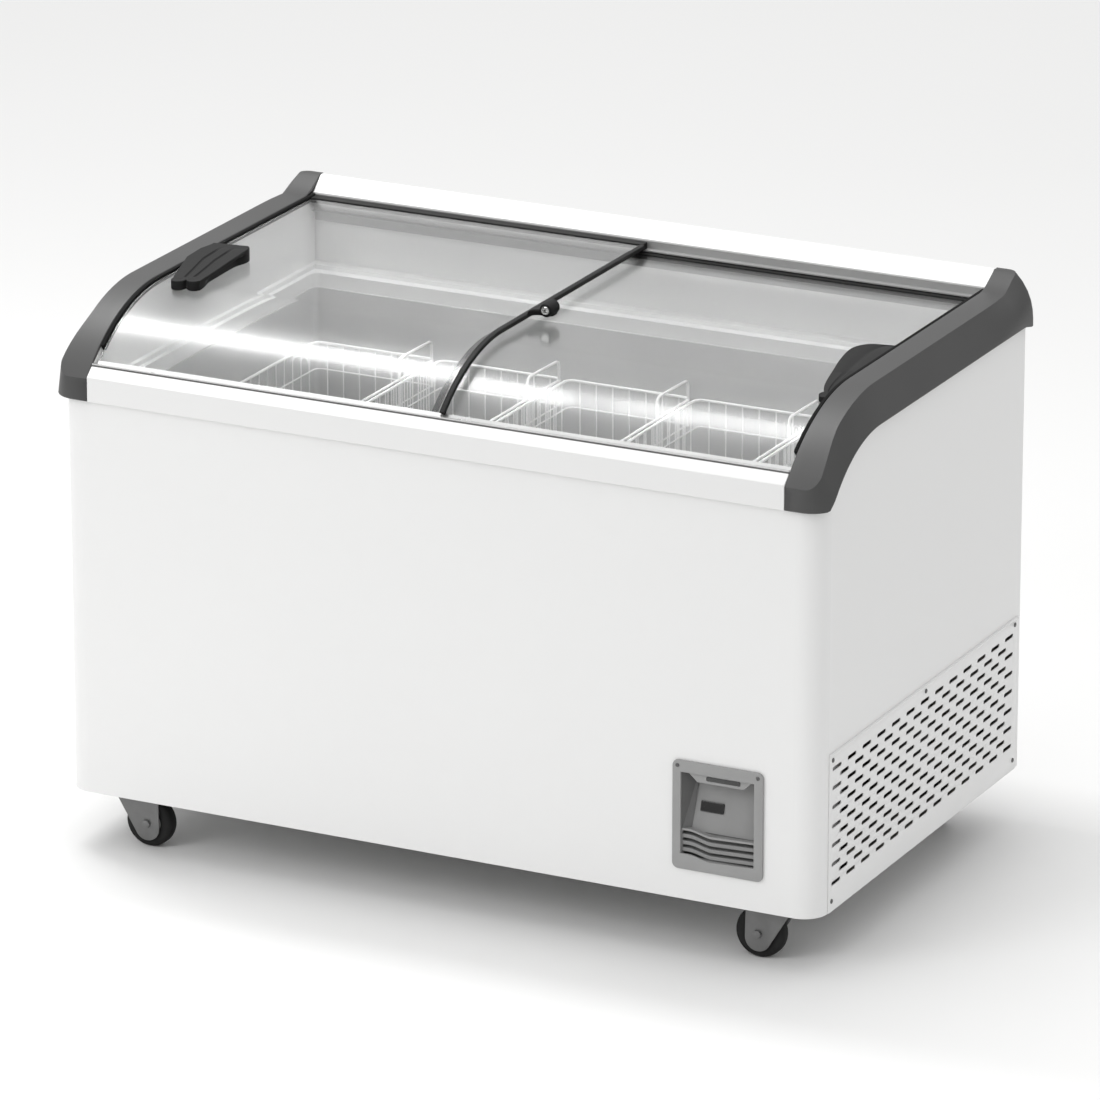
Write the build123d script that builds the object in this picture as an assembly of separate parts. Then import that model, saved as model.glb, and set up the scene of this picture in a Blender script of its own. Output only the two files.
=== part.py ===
from build123d import *
import math
import os

# Sliding-lid display chest freezer on four swivel casters.
# Frame: millimetres, +X to the freezer's right, -Y to its front, +Z up.
# The origin is on the floor, under the middle of the freezer.

# ---- driving dimensions ----
HALF_W = 600.0  # cabinet side faces
FRONT_Y = -351.0  # cabinet front face
REAR_Y = 357.5  # cabinet rear face
BOTTOM_Z = 88.0  # lower edge of the cabinet
FRONT_R = 36.0  # front vertical corners of the cabinet
REAR_R = 8.0
SKIN = 1.0  # sheet steel
REAR_GAP_X = 588.0  # half width of the opening at the rear of the bent sheet
INLET_X = 540.0  # supply inlet
INLET_Z = 128.0
CAP_X = 612.0  # end caps stand proud of the sides
CAP_Y = 361.0  # rails and caps stand proud at front and rear
CAP_IN_X = 549.0
CREST_X = 589.0
RAIL_BOTTOM_Z = 688.0
RAIL_FACE_TOP_Z = 722.6
CAP_WALL = 3.0

# The crown seen from the side: every lid, track and cap is concentric with it.
CROWN_Y = -151.0
CROWN_Z = 545.0
CAP_R = 275.0
UPPER_GLASS_R = 271.0
LOWER_GLASS_R = 257.0
GLASS = 4.0
CAP_LOW_Y = -178.0  # centre and radius of the caps' lower edge
CAP_LOW_Z = 568.5
CAP_LOW_R = 200.0
REAR_SLOPE_Y = 322.0  # where the caps start to climb at the rear
REAR_TOP_Z = 841.5

# Tank and baskets
TANK_X = 527.5
TANK_Y = 290.0
TANK_FLOOR_Z = 150.0
TANK_RIM_Z = 683.0
TANK_R = 8.0
STEP_X = 320.0
STEP_Z = 384.0
LINER = 1.2
BASKETS = 5
BASKET_PITCH = 211.0
BASKET_HALF_W = 103.0
BASKET_HALF_D = 285.0
BASKET_RIM_Z = 606.0
BASKET_LOOP_Z = 639.0
WIRE = 3.5

# Machine bay under the step
BAY_X = 362.0
BAY_TOP_Z = 322.0
BASE_Z = 102.5  # underside of the base plate
BASE_T = 2.0

# Lids
LID_X = 542.0
LEFT_LID_EDGE = 12.0
RIGHT_LID_EDGE = -15.0
GLASS_REAR_Y = 318.0
RUNNER_REAR_Y = 324.0
LID_FRONT_DEG = 47.5  # angle of the lids' front edges around the crown
RUNNER_DEG = (45.2, 49.5)

# Casters
WHEEL_R = 37.5
WHEEL_W = 22.0
TRAIL = 25.0
CASTER_X = 516.0
CASTER_Y = 295.0
AXLE_R = 4.0
RUN_FIT = 0.05

# Control panel and side grille
PANEL_X = (378.0, 518.0)
PANEL_Z = (134.0, 296.0)
PANEL_OPEN_X = (391.0, 504.0)
PANEL_OPEN_Z = (150.0, 278.5)
DIVIDER_Z = 190.0
GRILLE_Y = (-315.0, 340.0)
GRILLE_TOP_Z = 324.0
SLOT_ROWS = 13
SLOT_PITCH_Z = 14.25
SLOT_PITCH_Y = 50.0
SLOT_Z = 129.0
SLOT_Y = -290.0


# ---- helpers ----
def save(name, *pieces):
    """Write one node: one solid, or several separate ones."""
    solids = [s for piece in pieces for s in piece.solids()]
    shape = solids[0] if len(solids) == 1 else Compound(children=solids)
    export_step(shape, f"parts/{name}.step")


def box(x, y, z):
    """A block from three (low, high) pairs."""
    size = [high - low for low, high in (x, y, z)]
    centre = [(high + low) / 2 for low, high in (x, y, z)]
    return Pos(*centre) * Box(*size)


def rod(axis, start, length, radius):
    """A cylinder from start along +axis, which is X, Y or Z."""
    turn = {"X": Rot(0, 90, 0), "Y": Rot(-90, 0, 0), "Z": Rot(0, 0, 0)}[axis]
    solid = Cylinder(radius, length, align=(Align.CENTER, Align.CENTER, Align.MIN))
    return Pos(*start) * turn * solid


def rounded(solid, radius, where):
    """Fillet the vertical edges whose centre passes the test."""
    edges = [e for e in solid.edges().filter_by(Axis.Z) if where(e.center())]
    return fillet(edges, radius)


def plan_block(half_w, y, z, front_r, rear_r):
    """A block with rounded vertical corners."""
    solid = rounded(box((-half_w, half_w), y, z), front_r, lambda c: c.Y < 0)
    return rounded(solid, rear_r, lambda c: c.Y > 0)


def ring_point(radius, degrees, centre=(CROWN_Y, CROWN_Z)):
    """(y, z) at an angle that climbs from the front to the top."""
    angle = math.radians(degrees)
    return (centre[0] - radius * math.cos(angle), centre[1] + radius * math.sin(angle))


def ring_angle(radius, y, centre=(CROWN_Y, CROWN_Z)):
    """The angle at which a circle reaches y."""
    return math.degrees(math.acos((centre[0] - y) / radius))


def at_x(x, point):
    return (x, point[0], point[1])


def arc(x, radius, start, end, centre=(CROWN_Y, CROWN_Z)):
    middle = (start + end) / 2
    points = [at_x(x, ring_point(radius, a, centre)) for a in (start, middle, end)]
    return ThreePointArc(*points)


def side_face(x, edges_and_points):
    """A face in the plane at x. Items are arcs, or (y, z) corners joined by lines."""
    edges = []
    corner = None
    first = None
    for item in edges_and_points:
        if isinstance(item, tuple):
            start = end = Vector(*at_x(x, item))
        else:
            start, end = item @ 0, item @ 1
        if corner is not None and (corner - start).length > 1e-6:
            edges.append(Line(corner, start))
        if not isinstance(item, tuple):
            edges.append(item)
        first = start if first is None else first
        corner = end
    edges.append(Line(corner, first))
    return Face(Wire(edges))


def side_prism(x, build):
    """Extrude a face along X; build(x) gives its outline at the low end."""
    return extrude(side_face(x[0], build(x[0])), x[1] - x[0], (1, 0, 0))


def crown_sheet(x, r_in, r_out, front_deg, rear_y):
    """A curved sheet: an arc at the front and a flat top to rear_y."""

    def outline(at):
        return [
            arc(at, r_out, front_deg, 90),
            (rear_y, CROWN_Z + r_out),
            (rear_y, CROWN_Z + r_in),
            arc(at, r_in, 90, front_deg),
        ]

    return side_prism(x, outline)


def sector(x, r_in, r_out, start, end):
    """A short curved bar between two angles of the crown."""
    return side_prism(x, lambda at: [arc(at, r_out, start, end), arc(at, r_in, end, start)])


def polygon(x, points):
    return side_prism(x, lambda at: points)


# ---- cabinet ----
def cabinet_inside(gap):
    """The block inside the sheet steel, less gap."""
    return plan_block(
        HALF_W - gap, (FRONT_Y + gap, REAR_Y - gap), (BOTTOM_Z, 800), FRONT_R - gap, REAR_R - gap
    )


def cap_lower_outline(at, radius, front_y, rear_y, bottom_z):
    """The region under the caps' lower edge."""
    centre = (CAP_LOW_Y, CAP_LOW_Z)
    start = ring_angle(radius, front_y, centre)
    return [
        (front_y, bottom_z),
        arc(at, radius, start, 90, centre),
        (REAR_SLOPE_Y, CAP_LOW_Z + radius),
        (rear_y - 11, CAP_LOW_Z + radius - 2.5),
        (rear_y, CAP_LOW_Z + radius - 6.5),
        (rear_y, bottom_z),
    ]


def cap_crest_outline(at, radius, front_y, rear_y, bottom_z):
    """The region under the caps' crest."""
    rise = radius - CAP_R
    return [
        (front_y, bottom_z),
        arc(at, radius, ring_angle(radius, front_y), 90),
        (REAR_SLOPE_Y, CROWN_Z + radius),
        (rear_y - 11, REAR_TOP_Z + rise),
        (rear_y, REAR_TOP_Z + rise),
        (rear_y, bottom_z),
    ]


def outer_cabinet():
    """Front and both sides, bent from one sheet."""
    shell = plan_block(HALF_W, (FRONT_Y, REAR_Y), (BOTTOM_Z, 800), FRONT_R, REAR_R)
    inside = plan_block(
        HALF_W - SKIN,
        (FRONT_Y + SKIN, REAR_Y - SKIN),
        (BOTTOM_Z - 1, 801),
        FRONT_R - SKIN,
        REAR_R - SKIN,
    )
    rear_gap = box((-REAR_GAP_X, REAR_GAP_X), (REAR_Y - SKIN - 1, REAR_Y + 1), (0, 801))
    below = side_prism(
        (-HALF_W - 1, HALF_W + 1),
        lambda at: cap_lower_outline(at, CAP_LOW_R - 4, FRONT_Y - 1, REAR_Y + 2, 0),
    )
    below = below + box(
        (-HALF_W - 1, HALF_W + 1), (FRONT_Y - 1, REAR_Y + 1), (0, RAIL_BOTTOM_Z - 0.3)
    )
    behind_rail = box((-CAP_IN_X, CAP_IN_X), (FRONT_Y - 1, FRONT_Y + 60), (0, 702))
    window = box(
        (PANEL_OPEN_X[0] - 5.5, PANEL_OPEN_X[1] + 5.5),
        (FRONT_Y - 1, FRONT_Y + 5),
        (PANEL_OPEN_Z[0] - 5.5, PANEL_OPEN_Z[1] + 5.5),
    )
    vent = box((HALF_W - 5, HALF_W + 1), (-304, 330), (112, 312))
    return (shell - inside - rear_gap - window - vent) & (below + behind_rail)


def rear_panel():
    """Flat sheet between the side sheet's two rear returns."""
    panel = box((-REAR_GAP_X + 0.2, REAR_GAP_X - 0.2), (REAR_Y - SKIN, REAR_Y), (BOTTOM_Z, 790))
    return panel - rod("Y", (INLET_X, REAR_Y - 5, INLET_Z), 10, 8.1)


def base_tray():
    """Folded base plate with a skirt all round."""
    outer = plan_block(
        HALF_W - SKIN - 0.2,
        (FRONT_Y + SKIN + 0.2, REAR_Y - SKIN - 0.2),
        (BOTTOM_Z, BASE_Z + BASE_T),
        FRONT_R - SKIN,
        REAR_R - SKIN,
    )
    inner = plan_block(
        HALF_W - SKIN - 2.2,
        (FRONT_Y + SKIN + 2.2, REAR_Y - SKIN - 2.2),
        (BOTTOM_Z - 1, BASE_Z),
        FRONT_R - 3,
        REAR_R - 3,
    )
    return outer - inner


def tank_block(gap, top):
    """The tank's room and its step, grown by gap."""
    low = plan_block(
        TANK_X + gap,
        (-TANK_Y - gap, TANK_Y + gap),
        (TANK_FLOOR_Z - gap, top),
        TANK_R + gap,
        TANK_R + gap,
    )
    step = box((STEP_X + gap, HALF_W), (FRONT_Y, REAR_Y), (0, STEP_Z - gap))
    return low - step


def inner_liner():
    flange = plan_block(
        TANK_X + 10, (-TANK_Y - 10, TANK_Y + 10), (TANK_RIM_Z - LINER, TANK_RIM_Z), TANK_R, TANK_R
    )
    return tank_block(LINER, TANK_RIM_Z) + flange - tank_block(0, TANK_RIM_Z + 1)


def insulation_foam():
    """Slabs of rigid foam that fill the room between the skin, the tank and the machine bay."""
    low, high = BASE_Z + BASE_T, TANK_RIM_Z - LINER
    side, front, rear = HALF_W - SKIN - 0.2, FRONT_Y + SKIN + 0.2, REAR_Y - SKIN - 0.2
    tank_x, tank_y = TANK_X + LINER, TANK_Y + LINER
    tank_low, step_x, step_low = TANK_FLOOR_Z - LINER, STEP_X + LINER, STEP_Z - LINER
    room = plan_block(side, (front, rear), (low, high), FRONT_R - SKIN, REAR_R - SKIN)
    slabs = [
        box((-side, -tank_x), (-tank_y, tank_y), (low, high)),
        box((tank_x, side), (-tank_y, tank_y), (BAY_TOP_Z, high)),
        box((-tank_x, step_x), (-tank_y, tank_y), (low, tank_low)),
        box((step_x, BAY_X), (-tank_y, tank_y), (low, step_low)),
        box((BAY_X, tank_x), (-tank_y, tank_y), (BAY_TOP_Z, step_low)),
    ]
    for y in ((front, -tank_y), (tank_y, rear)):
        slabs.append(box((-side, side), y, (BAY_TOP_Z, high)))
        slabs.append(box((-side, BAY_X), y, (low, BAY_TOP_Z)))
    return [slab & room for slab in slabs]


def top_collar():
    """Inner mouth moulding between the tank and the lids, stepped like a funnel."""
    inside = cabinet_inside(SKIN + 0.2)
    body = inside & box((-HALF_W, HALF_W), (FRONT_Y, REAR_Y), (TANK_RIM_Z, RAIL_BOTTOM_Z - 0.3))
    body = body + (inside & box((4 - CREST_X, CREST_X - 4), (FRONT_Y, REAR_Y), (686, 712)))
    mouth_low = plan_block(
        TANK_X + 2.5, (-TANK_Y - 3, TANK_Y + 3), (TANK_RIM_Z - 1, 706), TANK_R + 4, TANK_R + 4
    )
    mouth_high = box((-537.5, 537.5), (-306, 309), (705, 713))
    wall_front = FRONT_Y + 8
    ridge_end = ring_angle(CAP_R - CAP_WALL - 1, wall_front)

    def side_wall(at):
        return [
            (wall_front, 711),
            arc(at, CAP_R - CAP_WALL - 1, ridge_end, 90),
            (REAR_SLOPE_Y, CROWN_Z + CAP_R - CAP_WALL - 1),
            (REAR_Y - 3, CROWN_Z + CAP_R - CAP_WALL - 1),
            (REAR_Y - 3, 711),
        ]

    def under_gasket(at):
        return [
            (-316, 711),
            arc(at, 261.5, ring_angle(261.5, -316), 90),
            (325, CROWN_Z + 261.5),
            (325, 711),
        ]

    walls = []
    for side in (-1, 1):
        outer = sorted((side * (CAP_IN_X + 0.4), side * (CREST_X - 4)))
        inner = sorted((side * 545.0, side * (CAP_IN_X + 0.4)))
        walls.append(side_prism(outer, side_wall))
        walls.append(side_prism(inner, under_gasket))
    rear_wall = box((-CAP_IN_X - 1, CAP_IN_X + 1), (329.5, REAR_Y - 3), (711, 814))
    return body - mouth_low - mouth_high + walls + rear_wall


def front_rail():
    face = FRONT_Y - 10
    return polygon(
        (-CAP_IN_X + 0.2, CAP_IN_X - 0.2),
        [
            (face, RAIL_BOTTOM_Z),
            (face, RAIL_FACE_TOP_Z + 2),
            (face + 3, RAIL_FACE_TOP_Z + 5),
            (-345.3, 738),
            (-345.3, 712.3),
            (FRONT_Y - 0.3, 712.3),
            (FRONT_Y - 0.3, RAIL_BOTTOM_Z),
        ],
    )


def rear_rail():
    """Sloped strip along the back edge, with a flange down the rear."""
    return polygon(
        (-CAP_IN_X + 0.2, CAP_IN_X - 0.2),
        [
            (327.5, 818),
            (327.5, 820.5),
            (330, 822),
            (352, 841),
            (356, REAR_TOP_Z),
            (CAP_Y, REAR_TOP_Z - 3),
            (CAP_Y, 762),
            (358, 762),
            (358, 838),
            (354, 838),
            (331, 818),
        ],
    )


def end_cap(side):
    """Moulded cover over one end: a flat crest that falls outwards to a lower edge."""
    low_z = 600.0
    crest = side_face(CREST_X, cap_crest_outline(CREST_X, CAP_R, -CAP_Y, CAP_Y, low_z))
    edge = side_face(CAP_X, cap_lower_outline(CAP_X, CAP_LOW_R, -CAP_Y, CAP_Y, low_z))
    outer = side_prism(
        (CAP_IN_X, CREST_X),
        lambda at: cap_crest_outline(at, CAP_R, -CAP_Y, CAP_Y, low_z),
    ) + loft([crest, edge], ruled=True)
    outer = outer & plan_block(CAP_X, (-CAP_Y, CAP_Y), (RAIL_BOTTOM_Z, 900), FRONT_R + 4, 10)

    thin = CAP_R - CAP_WALL
    lean_x = CREST_X - CAP_WALL
    side_x = HALF_W + 0.3
    front = FRONT_Y - 0.3
    rear = CAP_Y - CAP_WALL
    roof = side_face(lean_x, cap_crest_outline(lean_x, thin, front, rear, low_z - 1))
    wall = side_face(side_x, cap_lower_outline(side_x, CAP_LOW_R - 3, front, rear, low_z - 1))
    hollow = side_prism(
        (CAP_IN_X - 1, lean_x), lambda at: cap_crest_outline(at, thin, front, rear, low_z - 1)
    ) + loft([roof, wall], ruled=True)
    hollow = hollow & plan_block(side_x, (front, rear), (low_z - 1, 900), FRONT_R, REAR_R)
    below_edge = side_prism(
        (side_x - 0.1, CAP_X + 1),
        lambda at: cap_lower_outline(at, CAP_LOW_R - 3, -CAP_Y - 1, CAP_Y + 1, low_z),
    )
    rear_cut = box((CAP_IN_X - 1, CAP_X + 1), (rear - 0.1, CAP_Y + 1), (low_z, 762))
    cap = outer - hollow - below_edge - rear_cut
    cap = max(cap.solids(), key=lambda s: s.volume)
    return cap if side > 0 else mirror(cap, Plane.YZ)


def front_track():
    """Aluminium extrusion with one groove for each lid."""
    block = polygon(
        (-CAP_IN_X + 0.5, CAP_IN_X - 0.5),
        [(-344.8, 712.2), (-344.8, 741), (-327.4, 741), (-321.2, 731), (-318, 724), (-318, 712.2)],
    )
    reach = (-CAP_IN_X, CAP_IN_X)
    upper = sector(reach, UPPER_GLASS_R - 7.4, UPPER_GLASS_R + 1.9, RUNNER_DEG[0] - 0.15, 62)
    lower = sector(reach, LOWER_GLASS_R - 7.4, LOWER_GLASS_R + 1.9, RUNNER_DEG[0] - 0.15, 62)
    return block - upper - lower


def rear_track():
    """Channel with a shelf for each lid's rear runner."""
    return polygon(
        (-545, 545),
        [
            (329.3, 818),
            (326, 818),
            (326, 807),
            (316, 807),
            (316, 805),
            (326, 805),
            (326, 793),
            (316, 793),
            (316, 791),
            (326, 791),
            (326, 776),
            (329.3, 776),
        ],
    )


def side_gaskets():
    """Soft strip along each end cap's inner edge."""
    right = crown_sheet((543, 548.8), 262, CAP_R + 0.5, 52, 325)
    return right, mirror(right, Plane.YZ)


# ---- control panel ----
def control_bezel():
    frame = box(PANEL_X, (FRONT_Y - 4, FRONT_Y - 0.1), PANEL_Z)
    corners = frame.edges().filter_by(Axis.Y)
    frame = fillet(corners, 9)
    return frame - box(PANEL_OPEN_X, (FRONT_Y - 5, FRONT_Y + 1), PANEL_OPEN_Z)


def control_panel():
    """Recessed tub with a face that leans back towards the top."""
    x = (PANEL_OPEN_X[0] - 2, PANEL_OPEN_X[1] + 2)
    z = (PANEL_OPEN_Z[0] - 2, PANEL_OPEN_Z[1] + 2)
    tub = box(x, (FRONT_Y, FRONT_Y + 32), z)
    room = polygon(
        PANEL_OPEN_X,
        [
            (FRONT_Y - 1, PANEL_OPEN_Z[0]),
            (FRONT_Y - 1, PANEL_OPEN_Z[1]),
            (FRONT_Y + 28, PANEL_OPEN_Z[1]),
            (FRONT_Y + 28, PANEL_OPEN_Z[1] - 12),
            (FRONT_Y + 8, DIVIDER_Z),
            (FRONT_Y + 3, DIVIDER_Z),
            (FRONT_Y + 3, DIVIDER_Z - 3),
            (FRONT_Y + 28, DIVIDER_Z - 3),
            (FRONT_Y + 28, PANEL_OPEN_Z[0]),
        ],
    )
    return tub - room


def leaning(x, low_z, high_z, proud, depth):
    """A plate that stands proud of the panel's leaning face."""
    slope = 20.0 / (PANEL_OPEN_Z[1] - 12 - DIVIDER_Z)
    base = FRONT_Y + 8
    low_y = base + (low_z - DIVIDER_Z) * slope
    high_y = base + (high_z - DIVIDER_Z) * slope
    return polygon(
        x,
        [
            (low_y - proud, low_z),
            (high_y - proud, high_z),
            (high_y - proud + depth, high_z),
            (low_y - proud + depth, low_z),
        ],
    )


def louvre_slats():
    """Bowed slats over the air inlet below the display."""
    slats = []
    for row in range(3):
        z = PANEL_OPEN_Z[0] + 8.0 + row * 10.2
        slats.append(box(PANEL_OPEN_X, (FRONT_Y + 3, FRONT_Y + 12), (z, z + 5.6)))
    return slats


def side_grille():
    panel = box((HALF_W + 0.1, HALF_W + 1.5), GRILLE_Y, (BOTTOM_Z, GRILLE_TOP_Z))
    lip = box((HALF_W + 0.1, HALF_W + 4), GRILLE_Y, (GRILLE_TOP_Z - 2, GRILLE_TOP_Z))
    slots = []
    for row in range(SLOT_ROWS):
        shift = 0.0 if row % 2 == 0 else SLOT_PITCH_Y / 2
        for column in range(13 - row % 2):
            y = SLOT_Y + shift + column * SLOT_PITCH_Y
            z = SLOT_Z + row * SLOT_PITCH_Z
            slots.append(box((HALF_W - 1, HALF_W + 3), (y - 15, y + 15), (z - 3, z + 3)))
    return panel + lip - slots


def panel_screws():
    """Pan heads on the control bezel and the side grille."""
    heads = []
    for x in (PANEL_X[0] + 8, PANEL_X[1] - 8):
        heads.append(rod("Y", (x, FRONT_Y - 5.6, PANEL_Z[1] - 8), 1.5, 3))
    for y, z in ((-305, 104), (330, 104), (-305, 314), (12, 314), (330, 314)):
        heads.append(rod("X", (HALF_W + 1.6, y, z), 1.6, 3.5))
    return heads


# ---- machine bay ----
MACHINE_X = 482.0
DRIER_X = 376.0
FLOOR = BASE_Z + BASE_T


def compressor():
    body = rod("Z", (MACHINE_X, 130, FLOOR + 22), 120, 72)
    dome = rod("Z", (MACHINE_X, 130, FLOOR + 141), 26, 58)
    plate = box((MACHINE_X - 85, MACHINE_X + 85), (75, 185), (FLOOR + 18, FLOOR + 22.5))
    holes = [rod("Z", (x, y, FLOOR), 40, 5.05) for x, y in foot_places()]
    return body + dome + (plate - holes)


def foot_places():
    return [(MACHINE_X + dx, 130 + dy) for dx in (-76, 76) for dy in (-44, 44)]


def compressor_feet():
    """Rubber grommets under the compressor plate."""
    return [
        rod("Z", (x, y, FLOOR), 17.9, 9) + rod("Z", (x, y, FLOOR + 17), 10, 5)
        for x, y in foot_places()
    ]


def condenser():
    """Fin block with header plates."""
    fins = [
        box((386 + 8 * n, 388.5 + 8 * n), (-296, -246), (FLOOR + 4, 306)) for n in range(26)
    ]
    top = box((370, 596), (-298, -244), (305.5, 309))
    bottom = box((370, 596), (-298, -244), (FLOOR + 0.1, FLOOR + 4.5))
    block = top + bottom
    for fin in fins:
        block = block + fin
    return block


FAN_Y = -232.0
FAN_Z = 210.0
FAN_R = 82.0


def fan_shroud():
    plate = box((384, 592), (FAN_Y - 3, FAN_Y), (FLOOR + 0.1, 312))
    collar = rod("Y", (488, FAN_Y - 3, FAN_Z), 22, FAN_R + 8)
    bore = rod("Y", (488, FAN_Y - 4, FAN_Z), 30, FAN_R + 5)
    return plate + collar - bore


def fan_motor():
    body = rod("Y", (488, FAN_Y + 25, FAN_Z), 42, 28)
    shaft = rod("Y", (488, FAN_Y + 2, FAN_Z), 24, 3)
    post = box((480, 496), (FAN_Y + 30, FAN_Y + 58), (FLOOR + 0.1, FAN_Z - 20))
    return body + shaft + post


def fan_blade():
    """Hub and five pitched blades around the motor shaft."""
    hub = rod("Y", (488, FAN_Y + 1, FAN_Z), 18, 16)
    blades = []
    for n in range(5):
        blade = Pos(0, 0, 44) * Rot(0, 0, 24) * Box(30, 2, 66)
        blades.append(Pos(488, FAN_Y + 10, FAN_Z) * Rot(0, 72 * n, 0) * blade)
    bore = rod("Y", (488, FAN_Y, FAN_Z), 24, 3 + RUN_FIT)
    return hub + blades - bore


def filter_drier():
    return rod("Z", (DRIER_X, 20, 150), 110, 11)


def refrigerant_tubes():
    """Discharge and liquid lines between compressor, condenser and drier."""
    liquid = rod("Z", (DRIER_X, 20, 260.1), 50, 3) + rod("Z", (DRIER_X, 20, FLOOR + 20), 25.4, 3)
    liquid = liquid + rod("Y", (DRIER_X, -243.8, FLOOR + 23), 266.8, 3)
    suction = rod("Z", (MACHINE_X, 130, FLOOR + 167.1), 40, 5)
    return liquid, suction


def power_inlet():
    """Blank cable gland where a supply cord would enter."""
    nut = rod("Y", (INLET_X, REAR_Y + 0.1, INLET_Z), 3.2, 13)
    body = rod("Y", (INLET_X, REAR_Y - 20, INLET_Z), 22, 8)
    bore = rod("Y", (INLET_X, REAR_Y - 21, INLET_Z), 30, 4.5)
    return nut + body - bore


# ---- lids ----
def lid_glass(x, radius):
    return crown_sheet(x, radius - GLASS, radius, LID_FRONT_DEG, GLASS_REAR_Y)


def lid_runners(x, radius):
    """Front and rear sliders that hold the glass edges."""
    glass = lid_glass(x, radius)
    front = sector(x, radius - 7, radius + 1.5, *RUNNER_DEG) - glass
    top = CROWN_Z + radius
    rear = box(x, (308, RUNNER_REAR_Y), (top - 8.8, top + 1.5)) - glass
    return front, rear


def meeting_trim(x, radius, glass):
    """Channel on the lid edge that overlaps the other lid."""
    return crown_sheet(x, radius - GLASS - 1, radius + 1.5, RUNNER_DEG[1] + 0.3, 307.5) - glass


def half_round(x, y, z, inward):
    """A block whose inward side is a half ellipse in plan."""
    middle = (y[0] + y[1]) / 2
    ellipse = Ellipse(abs(x[1] - x[0]), (y[1] - y[0]) / 2)
    edge = x[1] if inward < 0 else x[0]
    solid = extrude(Pos(edge, middle, z[0]) * ellipse, z[1] - z[0])
    return solid & box(x, y, z)


def grip_top(y, drop=0.0):
    """Height of the left grip's top, which falls towards the front."""
    return 828.5 + (y + 190.0) * 8.0 / 180.0 - drop


def left_handle():
    """Ribbed grip on the upper lid, with two round lobes and a finger hollow along its inner side."""
    plan = Polyline(
        (-509, -177.5),
        (-464, -177.5),
        (-464.5, -130),
        (-466.5, -80),
        (-467.5, -20),
        (-474, -12),
        (-532, -12),
        (-538.5, -40),
        (-538.5, -80),
        (-523.5, -130),
        (-509, -177.5),
    )
    body = extrude(Pos(0, 0, 700) * Face(Wire(plan.edges())), 150, (0, 0, 1))
    body = body + rod("Z", (-498.5, -176.5, 700), 150, 11.5) + rod("Z", (-475.5, -171.5, 700), 150, 11.5)
    y = (-240, 20)
    above = polygon((-560, -440), [(y[0], grip_top(y[0])), (y[1], grip_top(y[1])), (y[1], 900), (y[0], 900)])
    body = body - above - box((-472, -455), (-150, -45), (819, 823))
    for gx in (-505, -488):
        y = (-165, -35)
        floor = [(y[0], grip_top(y[0], 2.2)), (y[1], grip_top(y[1], 2.2))]
        body = body - polygon((gx - 1.6, gx + 1.6), floor + [(y[1], 900), (y[0], 900)])
    under = crown_sheet((-560, -440), 40, UPPER_GLASS_R + 0.3, 10, 200)
    return body - under


def right_handle():
    """Low grip on the lower lid, thin enough to pass under the upper lid."""
    plan = Polyline(
        (LID_X, -205),
        (524, -180),
        (513, -145),
        (500, -95),
        (488, -50),
        (481, -5),
        (484, 22),
        (496, 38),
        (515, 43),
        (LID_X, 43),
        (LID_X, -205),
    )
    body = extrude(Pos(0, 0, 700) * Face(Wire(plan.edges())), 200, (0, 0, 1))
    body = body + rod("Z", (533, -196, 700), 200, 8.5)
    sheet = crown_sheet((470, LID_X), LOWER_GLASS_R + 0.3, LOWER_GLASS_R + 8.3, 40, 60)
    return sheet & body


LOCK_X = 34.5
LOCK_Y = -51.0
LOCK_Z = 822.5
LOCK_R = 10.5
KEY_R = 6.5


def lock_body():
    housing = rod("Y", (LOCK_X, LOCK_Y - 13, LOCK_Z), 28, LOCK_R)
    neck = box((LEFT_LID_EDGE + 0.1, LOCK_X), (LOCK_Y - 8, LOCK_Y + 14), (812.5, 822.5))
    bore = rod("Y", (LOCK_X, LOCK_Y - 14, LOCK_Z), 19, KEY_R + RUN_FIT)
    return housing + neck - bore


def lock_barrel():
    """Key barrel with a slot across its face."""
    barrel = rod("Y", (LOCK_X, LOCK_Y - 14.5, LOCK_Z), 19, KEY_R)
    slot = box((LOCK_X - 0.8, LOCK_X + 0.8), (LOCK_Y - 15, LOCK_Y - 9), (LOCK_Z - 4, LOCK_Z + 4))
    return barrel - slot


# ---- baskets ----
def wire_panel(x, y, z, windows):
    """A flat lattice: a thin slab less its windows."""
    return box(x, y, z) - windows


def spaced(low, high, count):
    """Middles of equal bays between low and high."""
    return [low + (high - low) * (n + 0.5) / count for n in range(count)]


def lifting_loops(x):
    """Raised wire loops near both ends of a side wall."""
    loops = []
    for end in (-1, 1):
        outer = sorted((end * 166, end * 274))
        loop = box(x, outer, (BASKET_RIM_Z, BASKET_LOOP_Z))
        loops.append(loop - box(x, (outer[0] + WIRE, outer[1] - WIRE), (600, BASKET_LOOP_Z - WIRE)))
    return loops


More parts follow.
